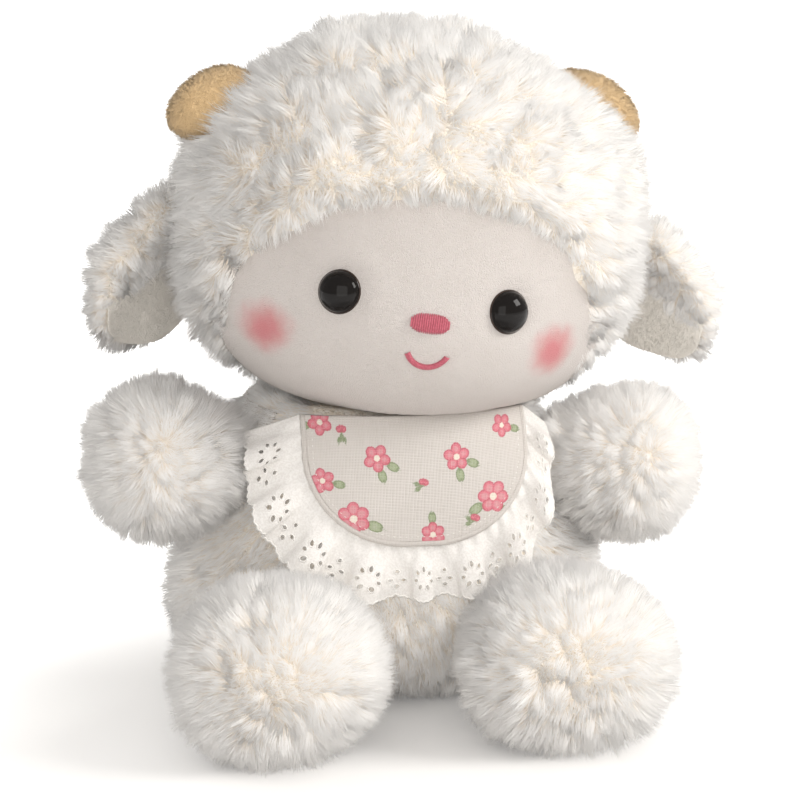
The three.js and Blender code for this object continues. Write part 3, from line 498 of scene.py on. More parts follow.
class Shader:
    """A material's nodes, built one after another."""

    def __init__(self, name: str) -> None:
        """Start an empty material.

        Args:
            name: The material's name.
        """
        self.material = bpy.data.materials.new(name)
        self.material.use_nodes = True
        self.tree = self.material.node_tree
        self.tree.nodes.clear()
        self.output = self.tree.nodes.new("ShaderNodeOutputMaterial")
        self.surface = self.tree.nodes.new("ShaderNodeBsdfPrincipled")
        self.tree.links.new(self.surface.outputs["BSDF"], self.output.inputs["Surface"])

    def settings(self, **values: float | Colour) -> None:
        """Set values on the surface's own sockets.

        Args:
            values: Socket names with underscores for spaces, and their values.
        """
        for key, value in values.items():
            socket = self.surface.inputs[key.replace("_", " ")]
            socket.default_value = (*value, 1.0) if isinstance(value, tuple) else value

    def node(self, kind: str, inputs: dict | None = None, **settings: object) -> bpy.types.Node:
        """Add a node.

        Args:
            kind: The node's type, without its usual start.
            inputs: Sockets by name or number, with a value or an output to link.
            settings: Attributes of the node.

        Returns:
            bpy.types.Node: The node.
        """
        made = self.tree.nodes.new("ShaderNode" + kind)
        for key, value in settings.items():
            setattr(made, key, value)
        for key, value in (inputs or {}).items():
            if isinstance(value, Socket):
                self.tree.links.new(value, made.inputs[key])
            elif isinstance(value, tuple) and made.inputs[key].type == "RGBA":
                made.inputs[key].default_value = (*value, 1.0)
            else:
                made.inputs[key].default_value = value
        return made

    def mix(self, share: object, first: object, second: object) -> Socket:
        """Blend two colours.

        Args:
            share: A value or output from 0 to 1.
            first: The first colour or output.
            second: The second colour or output.

        Returns:
            Socket: The blended colour.
        """
        inputs = {0: share, 6: first, 7: second}
        return self.node("Mix", inputs, data_type="RGBA", blend_type="MIX").outputs[2]

    def ranged(
        self, value: object, low: float, high: float, start: float = 0.0, end: float = 1.0
    ) -> Socket:
        """Map a value from one range to another, with a smooth rise.

        Args:
            value: The output to map.
            low: The range's start.
            high: The range's end.
            start: What the start becomes.
            end: What the end becomes.

        Returns:
            Socket: The mapped value.
        """
        inputs = {0: value, 1: low, 2: high, 3: start, 4: end}
        return self.node("MapRange", inputs, interpolation_type="SMOOTHSTEP").outputs[0]

    def sum(self, first: object, second: object, how: str = "ADD") -> Socket:
        """Combine two values.

        Args:
            first: The first value or output.
            second: The second value or output.
            how: The operation.

        Returns:
            Socket: The result.
        """
        return self.node("Math", {0: first, 1: second}, operation=how).outputs[0]

    def noise(self, places: object, scale: float, detail: float = 2.0) -> Socket:
        """Cloudy noise.

        Args:
            places: The output that gives the places.
            scale: How fine it is.
            detail: How many finer layers it has.

        Returns:
            Socket: A value round one half.
        """
        inputs = {"Vector": places, "Scale": scale, "Detail": detail}
        return self.node("TexNoise", inputs).outputs["Fac"]

    def object_places(self) -> Socket:
        """The places in the piece's own frame, in metres."""
        return self.node("TexCoord").outputs["Object"]

    def map_places(self, name: str) -> Socket:
        """The places of one of the piece's own maps."""
        return self.node("UVMap", uv_map=name).outputs[0]

    def colour(self, output: Socket) -> None:
        """Link the surface's colour."""
        self.tree.links.new(output, self.surface.inputs["Base Color"])

    def rough(self, output: Socket) -> None:
        """Link the surface's roughness."""
        self.tree.links.new(output, self.surface.inputs["Roughness"])

    def raise_by(self, height: Socket, distance: float, strength: float) -> None:
        """Raise the surface by a height.

        Args:
            height: The height's output.
            distance: What a height of 1 stands for, in metres.
            strength: How strongly it shows.
        """
        bump = self.node("Bump", {"Height": height, "Distance": distance, "Strength": strength})
        self.tree.links.new(bump.outputs["Normal"], self.surface.inputs["Normal"])


@dataclass(frozen=True)
class PileFinish:
    """Long fibres, white at the tip and darker and warm at the root, where the root's colour is painted shade of
    the deep pile.
    """

    name: str
    # root: painted shade, the darker warm colour that stands in for the shade deep in the pile
    root: Colour
    tip: Colour
    low: float = 0.0
    high: float = 0.6

    def material(self) -> bpy.types.Material:
        """Build the fibres' material, which reads each fibre's own map."""
        shader = Shader(self.name)
        parts = shader.node("SeparateXYZ", {0: shader.map_places("OFBake")})
        # Towards the root each fibre takes the painted shade of the deep pile.
        share = shader.ranged(parts.outputs[1], self.low, self.high)
        fibre = shader.mix(share, self.root, self.tip)
        # Some tufts, at random, lean a little further towards the root's painted shade.
        shade = shader.ranged(parts.outputs[0], 0.0, 1.0, 0.0, 0.12)
        shader.colour(shader.mix(shade, fibre, self.root))
        shader.settings(Roughness=0.75, Specular_IOR_Level=0.2, Sheen_Weight=0.3, Sheen_Roughness=0.5)
        return shader.material


@dataclass(frozen=True)
class GrainFinish:
    """Cloth or thread in two close colours with a fine grain."""

    name: str
    base: Colour
    shade: Colour
    grain: float
    detail: float
    relief: tuple[float, float]
    roughness: float
    gloss: float
    sheen: float = 0.2
    relief_grain: float | None = None

    def material(self) -> bpy.types.Material:
        """Build the cloth's or thread's material."""
        shader = Shader(self.name)
        places = shader.object_places()
        fine = shader.noise(places, self.grain, self.detail)
        shader.colour(shader.mix(shader.ranged(fine, 0.35, 0.65), self.shade, self.base))
        height = fine if self.relief_grain is None else shader.noise(places, self.relief_grain)
        shader.raise_by(height, *self.relief)
        shader.settings(Roughness=self.roughness, Specular_IOR_Level=self.gloss, Sheen_Weight=self.sheen)
        return shader.material


@dataclass(frozen=True)
class Blush:
    """A soft round tint on a nap."""

    centre: tuple[float, float, float]
    radius: float


@dataclass(frozen=True)
class NapFinish:
    """Short dense nap, such as velboa."""

    name: str
    base: Colour
    shade: Colour
    blush_colour: Colour = (0.0, 0.0, 0.0)
    blushes: tuple[Blush, ...] = ()
    blush_strength: float = 0.0
    flatness: float = 0.4

    def material(self) -> bpy.types.Material:
        """Build the nap's material."""
        shader = Shader(self.name)
        places = shader.object_places()
        fine = shader.noise(places, 2600.0)
        broad = shader.noise(places, 90.0, 3.0)
        lie = shader.ranged(broad, 0.3, 0.7, 0.0, 0.6)
        speck = shader.ranged(fine, 0.3, 0.72, 0.0, 0.55)
        nap = shader.mix(speck, self.base, self.shade)
        nap = shader.mix(lie, nap, self.base)
        flatten = (1.0, self.flatness, 1.0)
        front = shader.node("VectorMath", {0: places, 1: flatten}, operation="MULTIPLY").outputs[0]
        for blush in self.blushes:
            radius = blush.radius * MM
            centre = tuple(value * scale * MM for value, scale in zip(blush.centre, flatten))
            away = shader.node("VectorMath", {0: front, 1: centre}, operation="DISTANCE")
            wander = shader.sum(shader.noise(places, 160.0), radius * 0.5, "MULTIPLY")
            reach = shader.sum(away.outputs["Value"], wander, "SUBTRACT")
            share = shader.ranged(reach, -0.1 * radius, radius, self.blush_strength, 0.0)
            nap = shader.mix(share, nap, self.blush_colour)
        shader.colour(nap)
        shader.raise_by(fine, 0.0011, 0.8)
        shader.settings(Roughness=0.85, Specular_IOR_Level=0.2, Sheen_Weight=0.2, Sheen_Roughness=0.4)
        return shader.material


@dataclass(frozen=True)
class LinenFinish:
    """Plain-woven linen, with or without its printed flowers. Its map is in millimetres."""

    name: str
    base: Colour
    shade: Colour
    petal: Colour
    leaf: Colour
    petal_rim: Colour = (0.55, 0.1, 0.15)
    leaf_rim: Colour = (0.2, 0.26, 0.13)
    heart: Colour = (0.9, 0.83, 0.72)
    thread_pitch: float = 0.5
    printed: bool = False

    def material(self) -> bpy.types.Material:
        """Build the linen's material."""
        shader = Shader(self.name)
        places = shader.map_places("cloth")
        parts = shader.node("SeparateXYZ", {0: places})
        height = None
        for axis, stretch in enumerate(((0.09, 1.0, 1.0), (1.0, 0.09, 1.0))):
            stretched = shader.node("VectorMath", {0: places, 1: stretch}, operation="MULTIPLY")
            slub = shader.noise(stretched.outputs[0], 1.1)
            angle = shader.sum(parts.outputs[1 - axis], math.tau / self.thread_pitch, "MULTIPLY")
            angle = shader.sum(angle, shader.sum(slub, 5.0, "MULTIPLY"))
            wave = shader.sum(angle, 0.0, "SINE")
            thread = shader.sum(shader.sum(wave, 0.5, "MULTIPLY"), slub)
            height = thread if height is None else shader.sum(height, thread)
        # The weave is darker where it lies low: painted shade in its hollows, with the slubs' own tone.
        share = shader.ranged(height, -0.2, 1.7)
        cloth = shader.mix(share, self.shade, self.base)
        if self.printed:
            cloth = self.print_on(shader, places, cloth, share)
        shader.colour(cloth)
        shader.raise_by(height, 0.00012, 0.8)
        shader.settings(Roughness=0.88, Specular_IOR_Level=0.2, Sheen_Weight=0.2, Sheen_Roughness=0.5)
        return shader.material

    def print_on(self, shader: Shader, places: Socket, cloth: Socket, weave: Socket) -> Socket:
        """Lay the flowers over the weave.

        Args:
            shader: The material's nodes.
            places: The cloth's own map.
            cloth: The plain cloth's colour.
            weave: How high the weave stands.

        Returns:
            Socket: The printed cloth's colour.
        """
        worn = shader.noise(places, 2.2, 3.0)
        wander = shader.sum(shader.sum(worn, 0.5, "SUBTRACT"), 0.55, "MULTIPLY")
        for name, tint, dark in (("leaf", self.leaf, self.leaf_rim), ("petal", self.petal, self.petal_rim)):
            inside = shader.node("Attribute", attribute_name=name).outputs["Fac"]
            inside = shader.sum(inside, wander)
            share = shader.ranged(inside, -0.14, 0.1)
            pale = shader.mix(shader.ranged(inside, 0.7, 1.4, 0.0, 0.25), tint, self.base)
            rim = shader.ranged(inside, 0.15, 0.6, 0.8, 0.0)
            ink = shader.mix(rim, pale, dark)
            ink = shader.mix(shader.ranged(worn, 0.5, 0.8, 0.0, 0.35), ink, self.base)
            strength = shader.sum(share, shader.ranged(weave, 0.0, 1.0, 0.8, 0.97), "MULTIPLY")
            cloth = shader.mix(strength, cloth, ink)
        heart = shader.node("Attribute", attribute_name="heart").outputs["Fac"]
        share = shader.ranged(shader.sum(heart, wander), -0.12, 0.2, 0.0, 0.9)
        return shader.mix(share, cloth, self.heart)


@dataclass(frozen=True)
class GlossFinish:
    """Moulded plastic, from glossy to matt."""

    name: str
    base: Colour
    shade: Colour
    roughness: float
    coat: float = 0.0

    def material(self) -> bpy.types.Material:
        """Build the plastic's material."""
        shader = Shader(self.name)
        places = shader.object_places()
        cloud = shader.noise(places, 500.0, 3.0)
        shader.colour(shader.mix(cloud, self.base, self.shade))
        marks = shader.noise(places, 1800.0)
        shader.rough(shader.ranged(marks, 0.3, 0.8, self.roughness, self.roughness * 1.6))
        shader.settings(Specular_IOR_Level=0.13, Coat_Weight=self.coat, Coat_Roughness=0.03)
        return shader.material


class Wardrobe:
    """Every material of the sheep, made once."""

    # The fibres' first colour, at the root, is painted shade of the deep pile; the second is the white tip.
    FIBRE = ((0.91, 0.835, 0.745), (0.988, 0.975, 0.957))
    # The ground cloth's warm beige is painted shade for the gaps deep in the pile.
    GROUND = ((0.94, 0.89, 0.81), (0.87, 0.78, 0.66))
    # The linen's colours are set darker than it shows in light: partly its own oatmeal, partly painted shade of
    # the head over the bib. The flowers and leaves are print.
    LINEN = ((0.72, 0.68, 0.645), (0.62, 0.575, 0.535), (0.74, 0.19, 0.25), (0.38, 0.44, 0.27))
    BLUSH = (0.68, 0.17, 0.19)
    BLUSHES = (Blush((-48.0, -50.0, 137.0), 10.0), Blush((49.5, -54.0, 128.3), 10.0))

    def __init__(self) -> None:
        """Build the materials."""
        kinds = ("wool", "plush")
        self.fibre = {kind: PileFinish(f"{kind}_fibre", *self.FIBRE).material() for kind in kinds}
        self.ground = {kind: self.ground_cloth(kind) for kind in kinds}
        # The face's cream is set darker than the velboa shows in light: partly its own cream, partly painted
        # shade of the hood's overhang.
        face = ((0.73, 0.68, 0.65), (0.64, 0.585, 0.545))
        self.face = NapFinish("face_nap", *face, self.BLUSH, self.BLUSHES, 0.85).material()
        self.horn = NapFinish("horn_nap", (0.82, 0.59, 0.33), (0.72, 0.49, 0.25)).material()
        self.ear = NapFinish("ear_nap", (0.99, 0.95, 0.88), (0.95, 0.89, 0.8)).material()
        self.linen = LinenFinish("linen", *self.LINEN).material()
        self.print = LinenFinish("printed_linen", *self.LINEN, printed=True).material()
        self.lace = self.cotton("lace_cotton", (0.87, 0.85, 0.825), (0.79, 0.765, 0.735), 1400.0)
        self.lace_thread = self.cotton("lace_thread", (0.93, 0.915, 0.885), (0.84, 0.815, 0.78), 2600.0)
        self.fill = self.cotton("fill_fibre", (0.95, 0.95, 0.94), (0.8, 0.8, 0.79), 700.0)
        satin = ((0.56, 0.125, 0.175), (0.46, 0.09, 0.13))
        self.satin = GrainFinish("pink_satin", *satin, 1500.0, 2.0, (0.0003, 0.6), 0.45, 0.45).material()
        self.eye = GlossFinish("eye_gloss", (0.006, 0.005, 0.005), (0.01, 0.008, 0.007), 0.04, 0.05).material()
        self.eye_rim = GlossFinish("eye_rim", (0.03, 0.018, 0.014), (0.05, 0.03, 0.022), 0.12, 0.5).material()
        self.washer = GlossFinish("washer_plastic", (0.8, 0.79, 0.76), (0.72, 0.71, 0.68), 0.4).material()
        self.snap = GlossFinish("snap_plastic", (0.86, 0.84, 0.8), (0.78, 0.76, 0.72), 0.3).material()

    def ground_cloth(self, kind: str) -> bpy.types.Material:
        """The cloth that a kind of pile grows from, in a warm beige that is painted shade for the gaps deep in
        the pile.
        """
        relief = (0.0015, 0.8)
        return GrainFinish(
            f"{kind}_ground", *self.GROUND, 420.0, 3.0, relief, 0.95, 0.1, sheen=0.0, relief_grain=900.0
        ).material()

    @staticmethod
    def cotton(name: str, base: Colour, shade: Colour, grain: float) -> bpy.types.Material:
        """White cotton for lace, its thread and the filling."""
        return GrainFinish(name, base, shade, grain, 2.0, (0.0002, 0.7), 0.8, 0.25).material()


# Pile


@dataclass(frozen=True)
class Pile:
    """How a pile's fibres stand, in millimetres."""

    length: float
    width: float
    lean: float
    spread: float
    tuft: float
    gather: float
    uneven: float = 0.25
    toss: float = 0.6
    loose: float = 0.2


class Skin:
    """A surface that pile grows from, as arrays in millimetres."""

    def __init__(self, mesh: bmesh.types.BMesh) -> None:
        """Read the surface.

        Args:
            mesh: The surface in millimetres, which is kept.
        """
        copy = mesh.copy()
        turn_outwards(copy)
        self.points = coordinates(copy)
        self.faces = self.triangles([[vertex.index for vertex in face.verts] for face in copy.faces])
        copy.free()
        corners = self.points[self.faces]
        cross = np.cross(corners[:, 1] - corners[:, 0], corners[:, 2] - corners[:, 0])
        self.areas = np.linalg.norm(cross, axis=1) / 2
        total = np.zeros(self.points.shape)
        for corner in range(3):
            np.add.at(total, self.faces[:, corner], cross)
        self.normals = unit(total)

    @staticmethod
    def triangles(polygons: list[list[int]]) -> Array:
        """Split faces into triangles, in an order that depends on their points alone.

        Args:
            polygons: The points of each face. Blender orders the faces differently on each run.

        Returns:
            Array: Three points for each triangle.
        """
        found = []
        for polygon in polygons:
            first = polygon.index(min(polygon))
            turned_round = polygon[first:] + polygon[:first]
            found += [(turned_round[0], *pair) for pair in zip(turned_round[1:], turned_round[2:])]
        return np.array(sorted(found))

    def scatter(self, count: int, random: np.random.Generator) -> tuple[Array, Array]:
        """Spread roots evenly over the surface.

        Args:
            count: How many roots.
            random: The source of random draws.

        Returns:
            tuple[Array, Array]: The roots and their normals.
        """
        steps = np.cumsum(self.areas)
        picks = (np.arange(count) + random.uniform(0, 1, count)) / count * steps[-1]
        index = np.minimum(np.searchsorted(steps, picks), len(self.areas) - 1)
        first, second = random.uniform(0, 1, (2, count))
        root = np.sqrt(first)
        weights = np.stack([1 - root, root * (1 - second), root * second], axis=-1)[..., None]
        points = np.sum(self.points[self.faces[index]] * weights, axis=1)
        normals = np.sum(self.normals[self.faces[index]] * weights, axis=1)
        return points, unit(normals)


@dataclass
class Roots:
    """Where fibres grow, and the way that they are combed."""

    points: Array
    normals: Array
    combs: Array
    lengths: Array

    def only(self, mask: Array) -> "Roots":
        """The roots that a mask keeps."""
        return Roots(self.points[mask], self.normals[mask], self.combs[mask], self.lengths[mask])


def fibre_template() -> tuple[Array, list[list[int]]]:
    """One upright fibre: a thin three-sided cone.

    Returns:
        tuple[Array, list[list[int]]]: Its points, Z from 0 to 1, and its faces.
    """
    mesh = bmesh.new()
    bmesh.ops.create_cone(mesh, cap_ends=False, segments=3, radius1=1.0, radius2=0.0, depth=1.0)
    bmesh.ops.remove_doubles(mesh, verts=mesh.verts, dist=0.001)
    bmesh.ops.translate(mesh, vec=(0, 0, 0.5), verts=mesh.verts)
    bmesh.ops.recalc_face_normals(mesh, faces=mesh.faces)
    mesh.verts.index_update()
    points = coordinates(mesh)
    faces = [[vertex.index for vertex in face.verts] for face in mesh.faces]
    mesh.free()
    return points, faces


class Fleece:
    """Grows a pile as real fibres, gathered in tufts."""

    def __init__(self, pile: Pile, material: bpy.types.Material, seed: int) -> None:
        """Set up one pile.

        Args:
            pile: How the fibres stand.
            material: The fibres' material.
            seed: Which random pattern it is.
        """
        self.pile = pile
        self.material = material
        self.random = np.random.default_rng(SEED * 1000 + seed)
        self.template, self.faces = fibre_template()

    def tips(self, roots: Roots) -> Array:
        """Where fibres end that lean with their comb."""
        lean = self.pile.lean
        way = unit(roots.normals * (1.0 - 0.4 * lean) + roots.combs * lean)
        return roots.points + roots.lengths[:, None] * way

    def gathered(self, roots: Roots, area: float) -> tuple[Array, Array, Array]:
        """Where fibres end after tufts have pulled them together.

        Args:
            roots: The fibres' roots.
            area: The surface that they cover, in square millimetres.

        Returns:
            tuple[Array, Array, Array]: The tips, each root's way out of its tuft, and its tuft's shade.
        """
        pile = self.pile
        count = len(roots.points)
        picks = self.random.permutation(count)[: max(int(area / pile.tuft**2), 1)]
        tree = KDTree(len(picks))
        for index, point in enumerate(roots.points[picks]):
            tree.insert(point, index)
        tree.balance()
        nearest = np.array([tree.find(point)[1] for point in roots.points])
        tufts = roots.only(picks)
        toss = self.random.normal(0, pile.toss, tufts.combs.shape)
        tufts.combs = along(tufts.combs + toss, tufts.normals)
        tufts.lengths = tufts.lengths * self.random.uniform(0.8, 1.3, len(picks))
        pull = pile.gather * self.random.uniform(0.5, 1.0, count)
        pull = np.where(self.random.uniform(0, 1, count) < pile.loose, 0.15, pull)[:, None]
        ends = self.tips(roots)
        ends = ends + pull * (self.tips(tufts)[nearest] - ends)
        outward = (roots.points - tufts.points[nearest]) / (0.5 * pile.tuft)
        return ends, outward, self.random.uniform(0, 1, len(picks))[nearest]

    def grow(self, name: str, roots: Roots, area: float, flat_map: bool = False) -> bpy.types.Object:
        """Grow the fibres as one mesh.

        Args:
            name: The piece's name.
            roots: The fibres' roots.
            area: The surface that they cover, in square millimetres.
            flat_map: Map them by place, seen from the front, and not along each fibre.

        Returns:
            bpy.types.Object: The mesh object.
        """
        count = len(roots.points)
        ends, outward, tuft_shade = self.gathered(roots, area)
        direction = unit(ends - roots.points)
        turn = self.random.uniform(0, 2 * np.pi, count)[:, None]
        flat = unit(np.cross(direction, np.array([0.31, 0.22, 0.92])))
        first = flat * np.cos(turn) + np.cross(direction, flat) * np.sin(turn)
        second = np.cross(direction, first)
        radius = self.pile.width / 2 * self.random.uniform(0.75, 1.25, count)
        across = self.template[None, :, :1] * first[:, None, :]
        across = across + self.template[None, :, 1:2] * second[:, None, :]
        height = self.template[None, :, 2:]
        points = roots.points[:, None, :] + height * (ends - roots.points)[:, None, :]
        points = points + radius[:, None, None] * across
        points[..., 2] = np.maximum(points[..., 2], FLOOR_CLEARANCE)
        soft = roots.normals + 0.3 * outward + 0.2 * direction
        normals = unit(soft[:, None, :] + 0.3 * across)
        shade = 0.6 * tuft_shade + 0.4 * self.random.uniform(0, 1, count)
        maps = np.stack(np.broadcast_arrays(shade[:, None], self.template[None, :, 2]), axis=-1)
        if flat_map:
            seen = roots.points[:, None, ::2] + 0.0 * maps
            low, high = seen.min(axis=(0, 1)), seen.max(axis=(0, 1))
            maps = (seen - low) / (high - low)
        return self.stamp(name, points.reshape(-1, 3) * MM, normals.reshape(-1, 3), maps.reshape(-1, 2), count)

    def stamp(self, name: str, points: Array, normals: Array, maps: Array, count: int) -> bpy.types.Object:
        """Write all fibres into one mesh.

        Args:
            name: The piece's name.
            points: The fibres' points in metres.
            normals: A soft normal for each point.
            maps: A place on the fibre's map for each point.
            count: How many fibres.

        Returns:
            bpy.types.Object: The mesh object.
        """
        size = len(self.template)
        sizes = np.array([len(face) for face in self.faces])
        corners = np.concatenate([np.array(face) for face in self.faces])
        loops = (corners[None, :] + size * np.arange(count)[:, None]).ravel()
        starts = np.concatenate([[0], np.cumsum(sizes)[:-1]])
        starts = (starts[None, :] + len(corners) * np.arange(count)[:, None]).ravel()
        data = bpy.data.meshes.new(name)
        data.vertices.add(len(points))
        data.vertices.foreach_set("co", points.ravel())
        data.loops.add(len(loops))
        data.loops.foreach_set("vertex_index", loops)
        data.polygons.add(len(starts))
        data.polygons.foreach_set("loop_start", starts)
        data.update(calc_edges=True)
        layer = data.uv_layers.new(name="OFBake")
        layer.uv.foreach_set("vector", maps[loops].ravel())
        data.polygons.foreach_set("use_smooth", np.ones(len(starts), dtype=bool))
        data.normals_split_custom_set_from_vertices(normals)
        data.materials.append(self.material)
        piece = bpy.data.objects.new(name, data)
        piece.visible_shadow = False  # light passes through white fibres, and the cloth below casts the shadow
        bpy.context.scene.collection.objects.link(piece)
        return piece


def planted(skin: Skin, count: int, pile: Pile, seed: int, comb: Shape) -> Roots:
    """Scatter combed roots over a skin.

    Args:
        skin: The surface.
        count: How many roots.
        pile: How the fibres stand.
        seed: Which random pattern it is.
        comb: Gives the way that the fibres lie at points with normals.

    Returns:
        Roots: The roots.
    """
    random = np.random.default_rng(SEED * 77 + seed)
    points, normals = skin.scatter(count, random)
    stray = random.normal(0, 1, points.shape) * pile.spread
    combs = along(comb(points, normals) + stray, normals)
    lengths = pile.length * (1 + pile.uneven * random.uniform(-1, 1, count))
    return Roots(points, normals, combs, lengths)


# The parts of the sheep


EYE_POST_AND_RIM = [(0.0, -13.0), (1.7, -13.0), (1.7, -1.2), (7.2, -1.0), (7.5, -0.4), (7.5, 0.2), (7.1, 0.55)]
LIMB_PILE = Pile(7.5, 0.38, 0.36, 0.6, 3.6, 0.6, 0.4, 1.05, 0.35)


@dataclass
class SewnPart:
    """A sub-assembly sewn from the wardrobe's cloths, with its filling and its pile."""

    wardrobe: Wardrobe

    def lay_ground(self, name: str, body: str, node: str, mesh: bmesh.types.BMesh, full: float) -> Skin:
        """Lay the cloth that pile grows from.

        Args:
            name: The piece's name, with its kind of pile, which is also its slot.
            body: The body that it rides on.
            node: The solid that it replaces.
            mesh: The cloth in millimetres, which is freed.
            full: Not used.

        Returns:
            Skin: The surface for the pile.
        """
        skin = Skin(mesh)
        slot = name.split("_")[-2]
        cloth = finished(name, mesh, self.wardrobe.ground[slot])
        register(cloth, body, slot, node)
        return skin

    def stuff(self, name: str, body: str, shape: Shape) -> None:
        """Put a lumpy fibre filling inside a cover.

        Args:
            name: What is filled.
            body: The body that it rides on.
            shape: Gives the point for a share along and an angle round.
        """
        mesh = shaped_ball(28, 20, lambda s, a: shape(s, a) + Ripple(9, 12.0).at(shape(s, a)) * 0.8)
        piece = finished(f"{name}_filling", mesh, self.wardrobe.fill)
        register(piece, body, "filling", f"{name}_stuffing")

    def grow_nap(self, name: str, body: str, slot: str, mesh: bmesh.types.BMesh, count: int) -> None:
        """Grow the short nap of velboa.

        Args:
            name: The piece's name.
            body: The body that it rides on.
            slot: The record's material slot.
            mesh: The cloth in millimetres, which is kept.
            count: How many fibres.
        """
        pile = Pile(1.5, 0.24, 0.6, 0.5, 2.6, 0.3, 0.35, 0.6, 0.4)
        material = {"horn_cloth": self.wardrobe.horn, "ear_cloth": self.wardrobe.ear}[slot]
        skin = Skin(mesh)

        def comb(points: Array, normals: Array) -> Array:
            """Down, with a little wander."""
            return along(DOWN + Ripple(80, 9.0).at(points) * 0.9, normals)

        middle = coordinates(mesh).mean(axis=0)
        skin.normals *= np.sign(np.sum(skin.normals * (skin.points - middle), axis=1).mean())
        roots = planted(skin, count, pile, 80, comb)
        register(Fleece(pile, material, 80).grow(name, roots, skin.areas.sum(), True), body, slot)

    def grow_pile(
        self, name: str, body: str, slot: str, roots: Roots, area: float, pile: Pile, seed: int
    ) -> None:
        """Grow long pile from its roots.

        Args:
            name: The piece's name.
            body: The body that it rides on.
            slot: The record's material slot, which is also its kind of pile.
            roots: The fibres' roots.
            area: The surface that they cover, in square millimetres.
            pile: How the fibres stand.
            seed: Which random pattern it is.
        """
        register(Fleece(pile, self.wardrobe.fibre[slot], seed).grow(name, roots, area), body, slot)


@dataclass
class Torso(SewnPart):
    """The pear-shaped body with its pile."""

    half_width: float = 78.0
    half_depth: float = 58.0
    height: float = 122.5
    back_shift: float = 4.0
    ground_depth: float = 3.8
    fibres: int = 110000
    pile: Pile = Pile(7.5, 0.4, 0.45, 0.5, 5.0, 0.6, 0.3, 0.8, 0.3)

    def __post_init__(self) -> None:
        """Make the form."""
        rows = (
            (0, 0, 0), (0.58, 0.58, 0.004), (0.87, 0.87, 0.05), (0.98, 0.98, 0.15), (1, 1, 0.27),
            (0.965, 0.985, 0.42), (0.89, 0.94, 0.57), (0.79, 0.88, 0.7), (0.69, 0.81, 0.81),
            (0.5, 0.6, 0.92), (0, 0, 1),
        )
        self.form = StuffedForm(self.half_width, self.half_depth, -0.5, self.height, rows)

    def points(self, shares: Array, angles: Array, grow: float) -> Array:
        """Points on the body, with the soft dents of its filling.

        Args:
            shares: Places from the seat to the neck.
            angles: Angles round it.
            grow: How far outside the form.

        Returns:
            Array: The points.
        """
        points = self.form.surface(shares, angles, grow)
        points[:, 1] += self.back_shift
        points += Ripple(3, 27.0).at(points) * 1.1
        points[:, 2] = np.clip(points[:, 2], 1.2, NECK_PLANE - SEAM_GAP)
        return points

    def inside(self, points: Array, grow: float) -> Array:
        """Which points lie inside the body, swollen by a distance."""
        shifted = points - np.array([0.0, self.back_shift, 0.0])
        return self.form.reach(shifted, grow) < 1.0

    def bare(self, roots: Roots) -> Array:
        """Where no fibres grow: on the seat, under the head and under the bib.

        Args:
            roots: The fibres' roots.

        Returns:
            Array: True for each root that has none.
        """
        across, back, height = roots.points.T
        seat = (height < 3.5) & (roots.normals[:, 2] < -0.8)
        neck = np.hypot(across / 38.0, (back - self.back_shift) / 30.0) < 1
        bib = (np.abs(across - 4.8) < 34.0) & (back < -10.0) & (height > 66.0)
        return seat | neck & (height > NECK_PLANE - 6) | bib

    def build(self) -> None:
        """Make the ground cloth, the filling and the pile."""
        ground = shaped_ball(72, 56, lambda s, a: self.points(s, a, -self.ground_depth))
        skin = self.lay_ground("torso_plush_cloth", "torso", "torso_cover", ground, 0.8)
        self.stuff("torso", "torso", lambda s, a: self.points(s, a, -FILLING_DEPTH))

        def comb(points: Array, normals: Array) -> Array:
            """Down the body and out round the neck, with a little wander."""
            out = unit(points * np.array([1.0, 1.0, 0.0]) + 0.001) * 1.5 * ease(97, 103, points[:, 2])[:, None]
            return along(DOWN + out + Ripple(5, 18.0).at(points) * 0.9, normals)

        roots = planted(skin, self.fibres, self.pile, 1, comb)
        roots = roots.only(~self.bare(roots))
        height = roots.points[:, 2]
        roots.lengths *= np.where(height < 12, 0.75, 1.0) * (1 - 0.2 * ease(97, 102, height))
        area = skin.areas.sum() * len(roots.points) / self.fibres
        for side in Side:
            half = roots.only(np.sign(roots.points[:, 0] + 1e-6) == side.value)
            name = f"torso_pile_{side.word}"
            self.grow_pile(name, "torso", "plush", half, area / 2, self.pile, 10 + side.value)


